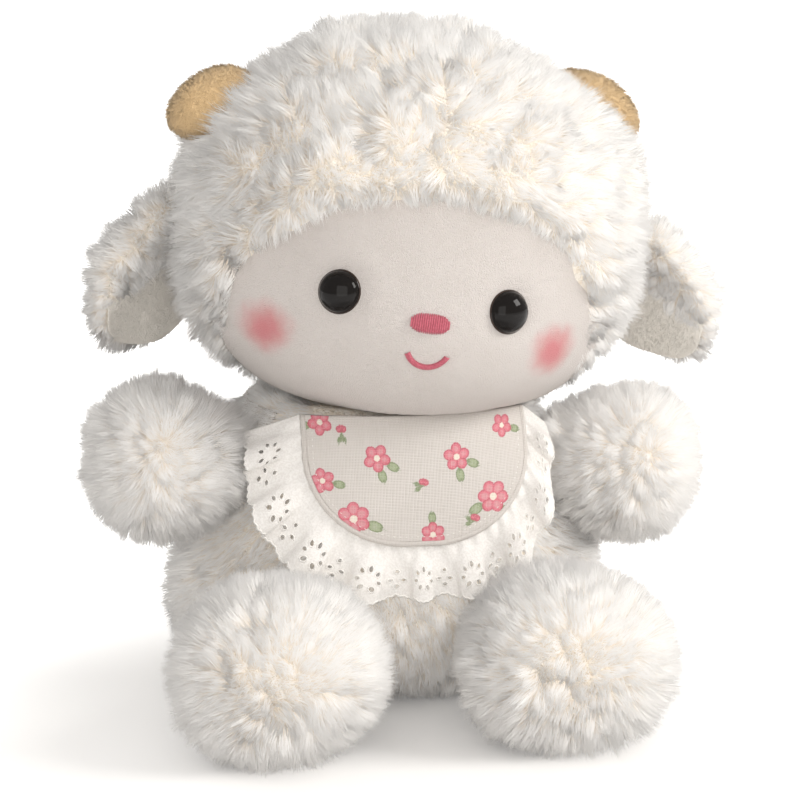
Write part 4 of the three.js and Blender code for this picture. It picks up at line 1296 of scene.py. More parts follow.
@dataclass
class Limb(SewnPart):
    """An arm or a leg: one stuffed form with radiating pile."""

    name: str
    side: Side
    form: StuffedForm
    placing: Matrix
    pole: tuple[float, float, float]
    fibres: int
    seed: int
    ground_depth: float = 3.7

    def points(self, shares: Array, angles: Array, grow: float) -> Array:
        """Points on the limb in the sheep's frame.

        Args:
            shares: Places from root to tip.
            angles: Angles round it.
            grow: How far outside the form.

        Returns:
            Array: The points.
        """
        points = moved(self.form.surface(shares, angles, grow), self.placing)
        points += Ripple(self.seed, 15.0).at(points) * 1.5
        points[:, 2] = np.maximum(points[:, 2], 0.9)
        return points

    def build(self, torso: Torso) -> None:
        """Make the ground cloth, the filling and the pile.

        Args:
            torso: The body that the limb grows out of.
        """
        body = f"{self.side.word}_{self.name}"
        ground = shaped_ball(56, 44, lambda s, a: self.points(s, a, -self.ground_depth))
        skin = self.lay_ground(f"{body}_plush_cloth", body, f"{body}_cover", ground, 0.85)
        self.stuff(body, body, lambda s, a: self.points(s, a, -FILLING_DEPTH))
        middle = np.array(self.placing @ Vector((0, 0, self.form.height * 0.6)))
        pole = unit(np.array(self.pole))

        def comb(points: Array, normals: Array) -> Array:
            """Away from the pole, with a little wander."""
            away = (points - middle) / self.form.half_width
            flat = away - pole * (away @ pole)[:, None]
            swirl = np.cross(pole, flat) * 0.25
            return along(flat - pole * 0.5 + swirl + Ripple(self.seed + 1, 12.0).at(points) * 1.3, normals)

        roots = planted(skin, self.fibres, LIMB_PILE, self.seed, comb)
        roots = roots.only(~torso.inside(roots.points, -1.0))
        low = roots.points[:, 2] < 5
        roots.lengths *= np.where(low & (roots.normals[:, 2] < -0.6), 0.55, 1.0)
        area = skin.areas.sum() * len(roots.points) / self.fibres
        self.grow_pile(f"{body}_pile", body, "plush", roots, area, LIMB_PILE, self.seed)


def arm(wardrobe: Wardrobe, side: Side) -> Limb:
    """An arm as it rests.

    Args:
        wardrobe: The materials.
        side: Which arm.

    Returns:
        Limb: The arm.
    """
    rows = (
        (0, 0, 0), (0.42, 0.42, 0.05), (0.6, 0.6, 0.2), (0.88, 0.88, 0.4), (1, 1, 0.6),
        (0.92, 0.92, 0.78), (0.6, 0.6, 0.94), (0, 0, 1),
    )
    sign = side.value
    forward = 20.0 if side is Side.LEFT else 13.0
    drop = -5.0 if side is Side.LEFT else 7.0
    placing = (
        Matrix.Translation((50.0 * sign, -14.0, 85.0))
        @ Matrix.Rotation(math.radians(-sign * forward), 4, "Z")
        @ Matrix.Rotation(math.radians(sign * (90 + drop)), 4, "Y")
    )
    form = StuffedForm(27.0, 27.0, 0.0, 59.0, rows)
    return Limb(wardrobe, "arm", side, form, placing, (sign * 0.35, -0.92, 0.1), 48000, 20 + sign)


def leg(wardrobe: Wardrobe, side: Side) -> Limb:
    """A leg as it rests.

    Args:
        wardrobe: The materials.
        side: Which leg.

    Returns:
        Limb: The leg.
    """
    rows = (
        (0, 0, 0), (0.4, 0.42, 0.04), (0.62, 0.68, 0.16), (0.76, 0.8, 0.32), (0.93, 0.95, 0.48),
        (1, 1, 0.63), (0.94, 0.95, 0.79), (0.64, 0.66, 0.94), (0, 0, 1),
    )
    sign = side.value
    turn = 5.0 if side is Side.LEFT else 7.0
    placing = (
        Matrix.Translation((43.0 * sign, -33.0, 28.7))
        @ Matrix.Rotation(math.radians(sign * turn), 4, "Z")
        @ Matrix.Rotation(math.pi / 2, 4, "X")
    )
    form = StuffedForm(34.6, 29.2, 0.0, 83.0, rows)
    return Limb(wardrobe, "leg", side, form, placing, (sign * 0.1, -0.99, -0.1), 64000, 30 + sign)


@dataclass
class Head(SewnPart):
    """The head: woolly hood, short-nap face, eyes and embroidery."""

    rise: float = 64.0
    muzzle_blend: float = 13.0
    face_shift: float = -2.8
    face_half_width: float = 60.0
    face_up: float = 41.5
    face_down: float = 42.0
    face_drop: float = 28.0
    nap: float = 2.2
    eye_spacing: float = 57.5
    eye_drop: float = 21.0
    eye_dome: float = 6.9
    eye_rise: float = 4.5
    face_lean: float = 2.8
    tuft_pitch: float = 24.0
    tuft_height: float = 4.2
    wool_depth: float = 5.9
    fibres: int = 190000
    pile: Pile = Pile(7.9, 0.42, 0.42, 0.6, 4.6, 0.65, 0.4, 1.2, 0.25)

    def __post_init__(self) -> None:
        """Make the forms and the placing."""
        self.placing = Matrix.Translation((3.0, -4.0, NECK_PLANE)) @ Matrix.Rotation(math.radians(5.0), 4, "Y")
        self.hood = StuffedForm(84.0, 71.0, self.rise - 66.0, 132.0, (), 2.85, 2.1)
        self.middle = np.array([0.0, 0.0, 58.7])
        self.muzzle_middle = np.array([0.0, -38.0, self.rise - 30.0])

    def distance(self, points: Array, grow: float) -> Array:
        """How far points lie outside the skull and its muzzle.

        Args:
            points: Points in the head's frame.
            grow: How far the surface is swollen.

        Returns:
            Array: Distances in millimetres, about.
        """
        skull = self.oval(points - self.middle, (74.0, 61.0, 61.3), 2.85, 2.1, grow)
        muzzle = self.oval(points - self.muzzle_middle, (40.0, 28.0, 27.0), 2.0, 2.0, grow)
        return soft_min(skull, muzzle, self.muzzle_blend)

    @staticmethod
    def oval(points: Array, half: tuple[float, float, float], low: float, high: float, grow: float) -> Array:
        """How far points lie outside an oval form.

        Args:
            points: Points from its middle.
            half: Its half sizes.
            low: Its fullness below.
            high: Its fullness above.
            grow: How far it is swollen.

        Returns:
            Array: Distances in millimetres, about.
        """
        sizes = np.array(half) + grow
        scaled = np.abs(points / sizes)
        power = np.where(points[:, 2] < 0, low, high)
        level = np.hypot(scaled[:, 0], scaled[:, 1])
        reach = (level**power + scaled[:, 2] ** power) ** (1 / power)
        return (reach - 1.0) * np.min(sizes)

    def leaving(self, starts: Array, ways: Array, low: float, high: float, grow: float) -> Array:
        """Where rays leave the skin, found by halving.

        Args:
            starts: Where the rays start, in the head's frame.
            ways: Their directions.
            low: A length that is surely inside.
            high: A length that is surely outside.
            grow: How far the skin is swollen.

        Returns:
            Array: The points in the head's frame.
        """
        inner, outer = np.full(len(ways), low), np.full(len(ways), high)
        for _ in range(26):
            middle = (inner + outer) / 2
            outside = self.distance(starts + ways * middle[:, None], grow) > 0
            outer = np.where(outside, middle, outer)
            inner = np.where(outside, inner, middle)
        return starts + ways * inner[:, None]

    def on_face(self, directions: Array, grow: float) -> Array:
        """Where rays from the middle of the head leave the swollen skin."""
        return self.leaving(self.middle, directions, 20.0, 120.0, grow)

    def outline(self, points: Array) -> Array:
        """How far outside the face's outline points lie, seen from the front.

        Args:
            points: Points in the head's frame.

        Returns:
            Array: Distances in millimetres, about, far outside behind the face.
        """
        across = np.abs(points[:, 0] - self.face_shift) / self.face_half_width
        up = points[:, 2] - (self.rise - self.face_drop)
        tall = np.abs(up) / np.where(up > 0, self.face_up, self.face_down)
        power = np.where(up > 0, 2.0, 2.85)
        reach = (across**power + tall**power) ** (1 / power)
        edge = (reach - 1.0) * 45.0
        return np.where(points[:, 1] < -14.0, edge, np.maximum(edge, 12.0))

    def front(self, across: float, drop: float, grow: float) -> tuple[Array, Array]:
        """A place on the leaning face and its normal, in the sheep's frame.

        Args:
            across: Millimetres to the right of the face's middle.
            drop: Millimetres below the head's middle.
            grow: How far outside the skin.

        Returns:
            tuple[Array, Array]: The place and the normal.
        """
        lean = math.radians(-self.face_lean)
        level = -drop + self.eye_drop
        x = self.face_shift + across * math.cos(lean) - level * math.sin(lean)
        z = self.rise - self.eye_drop + across * math.sin(lean) + level * math.cos(lean)
        step = 1.5
        offsets = np.array([[0, 0, 0], [step, 0, 0], [-step, 0, 0], [0, 0, step], [0, 0, -step]])
        starts = np.array([x, 0.0, z]) + offsets
        found = self.leaving(starts, np.tile([0.0, -1.0, 0.0], (5, 1)), 0.0, 110.0, grow)
        normal = np.cross(found[1] - found[2], found[3] - found[4])
        spot = moved(found[:1], self.placing)[0]
        return spot, unit(turned(unit(normal)[None, :], self.placing))[0]

    def eyes(self) -> list[tuple[Side, Array, Array]]:
        """The side, place and normal of each eye."""
        half = self.eye_spacing / 2
        return [(side, *self.front(side.value * half, self.eye_drop, self.nap)) for side in Side]

    def dented(self, points: Array, directions: Array) -> Array:
        """Press the eyes' seats and the seam under the nose into the face.

        Args:
            points: Points in the sheep's frame.
            directions: The way out at each point.

        Returns:
            Array: The pressed points.
        """
        for _, spot, _ in self.eyes():
            away = np.linalg.norm(points - spot, axis=1)
            points = points - directions * (1.5 * np.exp(-((away / 8.5) ** 2)))[:, None]
            points = points + directions * (0.5 * np.exp(-(((away - 13.0) / 4.0) ** 2)))[:, None]
        return points

    def build_face(self) -> None:
        """Make the short-nap face."""
        mesh = bmesh.new()
        bmesh.ops.create_icosphere(mesh, subdivisions=6, radius=1.0)
        directions = unit(coordinates(mesh))
        points = self.on_face(directions, self.nap)
        set_coordinates(mesh, points)
        gone = [v for v, edge in zip(mesh.verts, self.outline(points)) if edge > 7.0]
        bmesh.ops.delete(mesh, geom=gone, context="VERTS")
        points = coordinates(mesh)
        out = turned(unit(points - self.middle), self.placing)
        world = self.dented(moved(points, self.placing), out)
        world[:, 2] = np.maximum(world[:, 2], NECK_PLANE + SEAM_GAP)
        set_coordinates(mesh, world)
        face = finished("face_velboa", mesh, self.wardrobe.face, outward=False)
        solid = face.modifiers.new("cloth", "SOLIDIFY")
        solid.thickness = 1.6 * MM
        solid.offset = -1.0
        register(face, "head", "velboa", "face_panel")

    def build_eyes(self) -> None:
        """Make the two domed eyes with their rims."""
        for side, spot, normal in self.eyes():
            mesh = bmesh.new()
            arc = [math.pi / 2 * step / 12 for step in range(1, 13)]
            dome = [(self.eye_dome * math.cos(angle), 0.55 + self.eye_rise * math.sin(angle)) for angle in arc]
            chain = [mesh.verts.new((radius, 0.0, height)) for radius, height in EYE_POST_AND_RIM + dome]
            edges = [mesh.edges.new(pair) for pair in zip(chain, chain[1:])]
            around = {"cent": (0, 0, 0), "axis": (0, 0, 1), "angle": math.tau}
            bmesh.ops.spin(mesh, geom=chain + edges, **around, steps=48, use_merge=True)
            bmesh.ops.remove_doubles(mesh, verts=mesh.verts, dist=0.002)
            turn = Vector((0, 0, 1)).rotation_difference(Vector(normal)).to_matrix().to_4x4()
            placing = Matrix.Translation(Vector(spot - normal * 1.1)) @ turn
            bmesh.ops.transform(mesh, matrix=placing, verts=mesh.verts)
            rim = [face for face in mesh.faces if self.height_over(face, spot, normal) < -0.35]
            for face in rim:
                face.material_index = 1
            piece = finished(f"{side.word}_glossy_eye", mesh, self.wardrobe.eye)
            piece.data.materials.append(self.wardrobe.eye_rim)
            register(piece, "head", "eye_plastic", f"{side.word}_eye")

    @staticmethod
    def height_over(face: bmesh.types.BMFace, spot: Array, normal: Array) -> float:
        """How high a face's middle stands over the eye's seat, in millimetres."""
        return float(np.dot(np.array(face.calc_center_median()) - spot, normal))

    def build_nose(self) -> None:
        """Make the satin-stitched nose."""
        random = np.random.default_rng(SEED + 5)
        paths = []
        count = 18
        for index in range(count):
            share = 2 * (index + 0.5) / count - 1
            across = share * 6.5
            half = 3.4 * (1 - abs(share) ** 3.2) ** 0.42 + random.uniform(-0.1, 0.1)
            path = []
            for step in np.linspace(-1, 1, 7):
                lift = 0.1 + 0.95 * (1 - step**2) ** 0.5 * (1 - 0.35 * share**4)
                spot, normal = self.front(1.6 + across, 27.0 - step * half, self.nap)
                path.append(spot + normal * (lift - (0.5 if abs(step) == 1 else 0.0)))
            paths.append(np.array(path))
        nose = threads("nose_satin_stitch", paths, 0.39, self.wardrobe.satin, 0.8)
        register(nose, "head", "thread", "nose_embroidery")

    def build_mouth(self) -> None:
        """Make the stitched smile."""
        width, sag = 13.4, 4.4
        radius = (width**2 / 4 + sag**2) / (2 * sag)
        half = math.asin(width / (2 * radius))
        paths = []
        count = 36
        for index in range(count):
            path = []
            for step in np.linspace(-1, 1, 5):
                angle = -half + 2 * half * (index + 0.5 + 0.25 * step) / count
                lane = 0.95 * step
                across = 2.3 + (radius + lane) * math.sin(angle)
                drop = 42.0 - radius + (radius + lane) * math.cos(angle)
                spot, normal = self.front(across, drop, self.nap)
                path.append(spot + normal * (-0.15 + 0.8 * (1 - step**2) ** 0.5))
            paths.append(np.array(path))
        mouth = threads("mouth_satin_stitch", paths, 0.3, self.wardrobe.satin, 0.7)
        register(mouth, "head", "thread", "mouth_embroidery")

    def bare_spots(self) -> list[tuple[Array, float]]:
        """The places and radii round the horns and ears where no big tuft stands, in the head's frame."""
        horns = [(side.value * reach, 2.0, self.rise + rise) for side, (reach, rise, _) in HORN_ROOTS.items()]
        ears = [(side.value * 84.0, 2.0, self.rise - 22.0) for side in Side]
        return [(np.array(spot), 22.0) for spot in horns] + [(np.array(spot), 38.0) for spot in ears]

    def tufts(self, points: Array) -> Array:
        """How far the wool's big tufts stand out.

        Args:
            points: Points in the head's frame.

        Returns:
            Array: The distances.
        """
        radius = (84.0 + 71.0 + 66.0) / 3
        count = round(4 * math.pi * (radius / self.tuft_pitch) ** 2)
        index = np.arange(count)
        rise = 1.0 - (2 * index + 1) / count
        ring = np.sqrt(1.0 - rise**2)
        angle = index * math.pi * (3 - math.sqrt(5))
        ways = np.stack([ring * np.cos(angle), ring * np.sin(angle), rise], axis=-1)
        heights = self.tuft_height * (1.0 - 0.4 * np.sin(index) ** 2)
        way = unit(points - np.array([0.0, 0.0, self.rise]))
        gaps = np.linalg.norm(way[:, None, :] - ways[None, :, :], axis=-1) * radius
        nearest = np.argmin(gaps, axis=1)
        gap = gaps[np.arange(len(points)), nearest] / (0.75 * self.tuft_pitch)
        out = heights[nearest] * np.maximum(0.0, 1.0 - gap**2) * ease(26.0, 40.0, points[:, 2])
        for spot, bare in self.bare_spots():
            out = out * ease(bare, bare + 14.0, np.linalg.norm(points - spot, axis=1))
        return out

    def build_hood(self) -> None:
        """Make the hood's ground cloth and its wool."""
        fine = Ripple(13, 9.0)

        def shape(shares: Array, angles: Array) -> Array:
            """The woolly ground, rolled in round the face."""
            points = self.hood.surface(shares, angles, -self.wool_depth)
            out = unit(points - self.middle)
            points = points + out * (self.tufts(points)[:, None] + fine.at(points)[:, :1] * 2.0)
            edge = self.outline(points)
            share = ease(-3.0, 7.0, edge)[:, None]
            inner = self.on_face(out, -1.5)
            points = inner + (points - inner) * share
            world = moved(points, self.placing)
            world[:, 2] = np.maximum(world[:, 2], NECK_PLANE + SEAM_GAP)
            return world

        ground = shaped_ball(120, 96, shape)
        skin = self.lay_ground("hood_wool_cloth", "head", "head_cover", ground, 0.85)
        self.stuff("head", "head", self.core)
        self.grow_wool(skin)

    def grow_wool(self, skin: Skin) -> None:
        """Grow the wool in four quarters.

        Args:
            skin: The hood's ground cloth.
        """
        inverse = self.placing.inverted()
        swirl, tangle = Ripple(14, 19.0), Ripple(15, 8.5)
        down = np.array([0.0, -0.15, -0.75])
        middle = np.array([self.face_shift, -60.0, self.rise - self.face_drop])

        def comb(points: Array, normals: Array) -> Array:
            """Down from the crown, swirling, and towards the face near its edge."""
            local = moved(points, inverse)
            inward = unit(middle - local)
            near = 1.0 - ease(2.0, 16.0, self.outline(local)[:, None])
            way = down + swirl.at(points) * 1.2 + tangle.at(points) * 1.1 + inward * near * 0.9
            return along(way, normals)

        roots = planted(skin, self.fibres, self.pile, 5, comb)
        local = moved(roots.points, inverse)
        edge = self.outline(local)
        hidden = (edge < 0.5) | (roots.points[:, 2] < NECK_PLANE + 1.2)
        roots = roots.only(~hidden)
        local, edge = local[~hidden], edge[~hidden]
        roots.lengths *= (0.62 + 0.38 * ease(0.0, 12.0, edge)) * (1.0 + 0.22 * ease(40.0, 70.0, -local[:, 0]))
        for spot, _ in self.bare_spots()[:2]:
            away = np.linalg.norm(local - spot, axis=1)
            roots.lengths *= 0.55 + 0.45 * ease(6.0, 16.0, away)
        area = skin.areas.sum() * len(roots.points) / self.fibres
        index = 0
        for row, in_row in (("front", local[:, 1] < -8), ("back", local[:, 1] >= -8)):
            for side in Side:
                mask = in_row & ((local[:, 0] >= 0) == (side is Side.RIGHT))
                share = area * mask.sum() / len(mask)
                name = f"wool_{row}_{side.word}"
                self.grow_pile(name, "head", "wool", roots.only(mask), share, self.pile, 50 + index)
                index += 1

    def core(self, shares: Array, angles: Array) -> Array:
        """Points on the head's filling."""
        polar = np.pi * shares
        directions = np.stack(
            [np.sin(polar) * np.cos(angles), np.sin(polar) * np.sin(angles), -np.cos(polar)], axis=-1
        )
        world = moved(self.on_face(unit(directions), -4.0), self.placing)
        world[:, 2] = np.maximum(world[:, 2], NECK_PLANE + 3)
        return world

    def build(self) -> None:
        """Make the whole head."""
        self.build_face()
        self.build_eyes()
        self.build_nose()
        self.build_mouth()
        self.build_hood()


@dataclass
class Horn(SewnPart):
    """A small curled horn of short nap."""

    side: Side
    head: Head
    length: float = 34.0
    radius: float = 11.0
    bend: float = 20.0

    def build(self) -> None:
        """Make the horn and its filling."""
        sign = self.side.value
        reach, rise, turn = HORN_ROOTS[self.side]
        placing = (
            self.head.placing
            @ Matrix.Translation((sign * reach, 2.0, self.head.rise + rise))
            @ Matrix.Rotation(math.radians(-sign * turn), 4, "Z")
            @ Matrix.Rotation(math.radians(sign * 62.0), 4, "Y")
        )
        rows = (
            (0, 0, 0), (0.7, 0.7, 0.05), (1, 1, 0.25), (0.98, 0.98, 0.5), (0.86, 0.86, 0.75),
            (0.55, 0.55, 0.94), (0, 0, 1),
        )
        form = StuffedForm(self.radius, self.radius, 0.0, self.length, rows)

        def shape(shares: Array, angles: Array, grow: float) -> Array:
            """Points on the bent horn."""
            points = form.surface(shares, angles, grow)
            angle = points[:, 2] / self.bend
            out = self.bend - sign * points[:, 0]
            points[:, 0] = sign * (self.bend - out * np.cos(angle))
            points[:, 2] = out * np.sin(angle)
            return moved(points, placing) + Ripple(40 + sign, 9.0).at(points) * 0.35

        word = self.side.word
        mesh = shaped_ball(56, 40, lambda s, a: shape(s, a, 0.0))
        self.grow_nap(f"{word}_horn_nap", "head", "horn_cloth", mesh, 7000)
        piece = finished(f"{word}_horn_velboa", mesh, self.wardrobe.horn)
        register(piece, "head", "horn_cloth", f"{word}_horn_cover")
        self.stuff(f"{word}_horn", "head", lambda s, a: shape(s, a, -2.6))


@dataclass
class Ear(SewnPart):
    """A floppy cupped ear with a furry back and a short-nap lining."""

    side: Side
    head: Head
    length: float = 60.0
    half_width: float = 25.0
    half_thickness: float = 9.5
    cup_radius: float = 110.0
    cup_depth: float = 6.0
    margin: float = 2.6
    fibres: int = 27000
    pile: Pile = Pile(8.6, 0.38, 0.4, 0.55, 4.2, 0.6, 0.3, 0.9, 0.3)

    def __post_init__(self) -> None:
        """Make the form and the placing."""
        sign = self.side.value
        flare = 22.0 if self.side is Side.LEFT else 36.0
        rows = (
            (0, 0, 0), (0.5, 0.42, 0.04), (0.8, 0.68, 0.2), (0.98, 0.93, 0.42), (1, 1, 0.62),
            (0.9, 0.86, 0.82), (0.5, 0.5, 0.96), (0, 0, 1),
        )
        self.form = StuffedForm(self.half_thickness, self.half_width, 0.0, self.length, rows)
        self.placing = (
            self.head.placing
            @ Matrix.Translation((sign * 81.0, 2.0, self.head.rise + 0.5))
            @ Matrix.Rotation(math.radians(sign * 48.0), 4, "Z")
            @ Matrix.Rotation(math.radians(sign * (180 - flare)), 4, "Y")
        )

    def hollow(self, points: Array) -> Array:
        """How far the cup's surface lies towards the front of the ear.

        Args:
            points: Points in the ear's frame.

        Returns:
            Array: Distances along the ear's thickness.
        """
        away = points[:, 1] ** 2 + (points[:, 2] - self.length / 2) ** 2
        centre = self.half_thickness + self.cup_radius - self.cup_depth
        return centre - np.sqrt(self.cup_radius**2 - away)

    def shape(self, shares: Array, angles: Array, grow: float) -> Array:
        """Points on the cupped ear, in its own frame.

        Args:
            shares: Places from root to tip.
            angles: Angles round it.
            grow: How far outside the form.

        Returns:
            Array: The points.
        """
        sign = self.side.value
        points = self.form.surface(shares, angles, grow)
        front = points[:, 0] * sign
        points[:, 0] = sign * soft_min(front, self.hollow(points) + grow * 0.5, 3.0)
        return points

    def build(self) -> None:
        """Make the ear's ground, lining and pile."""
        sign = self.side.value
        body = f"{self.side.word}_ear"
        lumps = Ripple(60 + sign, 14.0)

        def ground_shape(shares: Array, angles: Array) -> Array:
            """The furry back's ground cloth."""
            points = moved(self.shape(shares, angles, -2.0), self.placing)
            return points + lumps.at(points) * 0.8

        ground = shaped_ball(56, 44, ground_shape)
        skin = self.lay_ground(f"{body}_plush_cloth", body, f"{body}_back", ground, 0.5)
        inner = StuffedForm(
            self.half_thickness, self.half_width - self.margin, self.margin,
            self.length - 2 * self.margin, self.form.rows,
        )

        def lining_shape(shares: Array, angles: Array) -> Array:
            """A thin pad on the cup's surface."""
            points = inner.surface(shares, angles, 0.0)
            across = points[:, 0] * sign / self.half_thickness
            sunk = 2.4 * (1 - ease(17.0, 25.0, points[:, 2] + 0.9 * points[:, 1]))
            points[:, 0] = sign * (self.hollow(points) - 1.2 + 0.9 * across - sunk)
            placed = moved(points, self.placing)
            return placed + lumps.at(placed) * 0.8

        mesh = shaped_ball(48, 36, lining_shape)
        self.grow_nap(f"{body}_lining_nap", body, "ear_cloth", mesh, 4500)
        lining = finished(f"{body}_velboa_lining", mesh, self.wardrobe.ear)
        register(lining, body, "ear_cloth", f"{body}_lining")
        self.build_pile(skin, inner, body)

    def build_pile(self, skin: Skin, inner: StuffedForm, body: str) -> None:
        """Grow the pile on the back and round the rim.

        Args:
            skin: The ground cloth.
            inner: The lining's outline.
            body: The ear's body.
        """
        sign = self.side.value
        inverse = self.placing.inverted()

        def comb(points: Array, normals: Array) -> Array:
            """Towards the tip and out over the rim."""
            local = moved(points, inverse)
            way = np.stack([np.zeros(len(local)), local[:, 1] / 16.0, (local[:, 2] - 22.0) / 30.0], axis=-1)
            return along(turned(way, self.placing) + Ripple(63, 10.0).at(points) * 0.6, normals)

        roots = planted(skin, self.fibres, self.pile, 60 + sign, comb)
        local = moved(roots.points, inverse)
        facing = turned(roots.normals, inverse)[:, 0] * sign
        reach = inner.reach(local * np.array([0, 1, 1]), -1.6)
        lined = (facing > 0.2) & (reach < 1.0) & (local[:, 2] + 0.9 * local[:, 1] > 24.0)
        buried = self.head.hood.reach(moved(roots.points, self.head.placing.inverted()), -7.0) < 1.0
        short = np.where(facing > 0.2, 0.6, 1.0) * (1 - 0.45 * ease(30.0, 42.0, local[:, 2]) * (reach < 1.25))
        kept = ~(lined | buried)
        roots = roots.only(kept)
        roots.lengths *= short[kept]
        area = skin.areas.sum() * len(roots.points) / self.fibres
        self.grow_pile(f"{body}_pile", body, "plush", roots, area, self.pile, 60 + sign)


@dataclass(frozen=True)
class Sprig:
    """One printed flower or bud on the bib, placed across and down from its top middle."""

    across: float
    down: float
    size: float
    turn: float
    petals: int
    leaves: tuple[float, ...]


@dataclass
class Bib(SewnPart):
    """The printed bib with its lining, piping, gathered lace and neck strap."""

    torso: Torso
    shift: float = 4.8
    top: float = 104.05
    drop: float = 41.0
    half_width: float = 37.6
    corner_width: float = 33.0
    corner_height: float = 29.0
    stand_off: float = 0.6
    piping: float = 1.1
    lace_width: float = 17.6
    gather: float = 1.62
    folds: int = 9
    fold_depth: float = 7.4
    scallop_depth: float = 1.3
    scallops: int = 3
    ring_holes: int = 7
    ring_radius: float = 2.8
    ring_down: float = 10.2
    strap_width: float = 7.0

    def __post_init__(self) -> None:
        """Work out the outline's lengths."""
        self.bottom = self.top - self.drop
        self.straight = self.drop - self.corner_height
        self.arc = (self.corner_width + self.corner_height) * math.pi / 4
        self.flat = 2 * (self.half_width - self.corner_width)
        self.edge = 2 * (self.straight + self.arc) + self.flat
        self.lace_length = self.edge * self.gather

    def on_body(self, across: Array, height: Array, out: Array) -> Array:
        """Points in front of the body.

        Args:
            across: Millimetres from the bib's middle.
            height: Heights above the seat.
            out: Distances outside the bib's own surface.

        Returns:
            Array: The points.
        """
        width, depth = self.torso.form.section(np.maximum(height, 20.0))
        share = np.clip((self.top - height) / self.drop, 0.0, 1.0)
        spread = 1.25 + 0.2 * share
        reach = (self.shift + across) / (width * spread + out)
        front = (depth + self.stand_off + out) * np.sqrt(np.maximum(0.0, 1 - reach**2))
        return np.stack([self.shift + across, self.torso.back_shift - front, height], axis=-1)

    def side_place(self, length: Array, out: Array) -> tuple[Array, Array]:
        """A place on half of the outline.

        Args:
            length: Lengths from the top corner.
            out: Distances outside the outline.

        Returns:
            tuple[Array, Array]: Distances across and heights.
        """
        angle = np.clip((length - self.straight) / self.arc, 0.0, 1.0) * math.pi / 2
        rest = np.maximum(0.0, length - self.straight - self.arc)
        across = self.flat / 2 + (self.corner_width + out) * np.cos(angle) - rest
        upright = self.top - length
        curved = self.bottom + self.corner_height - (self.corner_height + out) * np.sin(angle)
        return across, np.where(length < self.straight, upright, curved)

    def edge_place(self, share: Array, out: Array) -> tuple[Array, Array]:
        """A place on the whole outline, from the left top corner to the right one.

        Args:
            share: Places from 0 to 1.
            out: Distances outside the outline.

        Returns:
            tuple[Array, Array]: Distances across and heights.
        """
        length = share * self.edge
        right = share > 0.5
        across, height = self.side_place(np.where(right, self.edge - length, length), out)
        return np.where(right, across, -across), height

    def wrinkle(self, points: Array, strength: float) -> Array:
        """Give cloth its soft folds, outwards only.

        Args:
            points: Points on the cloth.
            strength: The deepest fold in millimetres.

        Returns:
            Array: The folded points.
        """
        folds = Ripple(71, 15.0).at(points * np.array([1.0, 0.2, 0.55]))[:, :1]
        fine = Ripple(72, 6.0).at(points * np.array([1.0, 0.2, 0.4]))[:, :1]
        return points + np.array([0.0, -1.0, 0.0]) * strength * (0.5 + 0.5 * folds + 0.2 * fine)

    def panel(self, low: float, columns: int, rows: int) -> bmesh.types.BMesh:
        """A flat-cut panel laid on the body.

        Args:
            low: Its distance outside the bib's own surface.
            columns: Faces across.
            rows: Faces down.

        Returns:
            bmesh.types.BMesh: The panel with its map in millimetres.
        """
        mesh = bmesh.new()
        layer = mesh.loops.layers.uv.new("cloth")
        bmesh.ops.create_grid(mesh, x_segments=columns, y_segments=rows, size=1.0)
        flat = coordinates(mesh)
        across = (flat[:, 0] + 1) / 2
        down = (1 - flat[:, 1]) / 2
        half, height = self.side_place(down * (self.straight + self.arc), 0.0)
        x = half * (2 * across - 1)
        for face in mesh.faces:
            for loop in face.loops:
                index = loop.vert.index
                loop[layer].uv = (x[index], height[index])
        points = self.wrinkle(self.on_body(x, height, np.full(len(x), low)), 0.9)
        set_coordinates(mesh, points)
        self.print_places = np.stack([x, self.top - height], axis=-1)
        return mesh

    def build_panels(self) -> None:
        """Make the printed front and the lining."""
        mesh = self.panel(1.4, 200, 140)
        marks = Print().marks(self.print_places)
        front = finished("bib_printed_front", mesh, self.wardrobe.print, outward=False)
        for name, values in marks.items():
            attribute = front.data.attributes.new(name, "FLOAT", "POINT")
            attribute.data.foreach_set("value", values)
        self.thicken(front, 0.8)
        register(front, "torso", "linen", "bib_front")
        mesh = self.panel(0.1, 60, 44)
        lining = finished("bib_linen_lining", mesh, self.wardrobe.linen, outward=False)
        self.thicken(lining, 0.7)
        register(lining, "torso", "linen", "bib_lining")

    def panel_area(self) -> float:
        """The flat area of a panel in square millimetres."""
        corners = (1 - math.pi / 4) * self.corner_width * self.corner_height * 2
        return 2 * self.half_width * self.drop - corners

    @staticmethod
    def thicken(piece: bpy.types.Object, thickness: float) -> None:
        """Give cloth its thickness, outwards.

        Args:
            piece: The cloth.
            thickness: Millimetres.
        """
        solid = piece.modifiers.new("thickness", "SOLIDIFY")
        solid.thickness = thickness * MM
        solid.offset = 1.0

    def build_piping(self) -> None:
        """Make the piping and its row of stitches."""
        share = np.linspace(0.0, 1.0, 120)
        across, height = self.edge_place(share, np.full(120, self.piping - 0.3))
        path = self.wrinkle(self.on_body(across, height, np.full(120, 1.3)), 0.9)
        piping = threads("bib_piping", [path], self.piping, self.wardrobe.linen, 0.9, 3)
        layer = piping.data.uv_layers.new(name="cloth")
        spots = np.array([vertex.co[:] for vertex in piping.data.vertices]) / MM
        for loop in piping.data.loops:
            layer.uv[loop.index].vector = (spots[loop.vertex_index, 0], spots[loop.vertex_index, 2])
        register(piping, "torso", "linen", "bib_binding")
        paths = []
        count = 64
        for index in range(count):
            part = (index + np.linspace(0.12, 0.7, 4)) / count
            across, height = self.edge_place(part, np.full(4, -1.6))
            lift = np.array([2.0, 2.28, 2.28, 2.0])
            paths.append(self.wrinkle(self.on_body(across, height, lift), 0.9))
        stitches = threads("bib_topstitch", paths, 0.11, self.wardrobe.lace_thread, 0.7, 1)
        register(stitches, "torso", "linen")

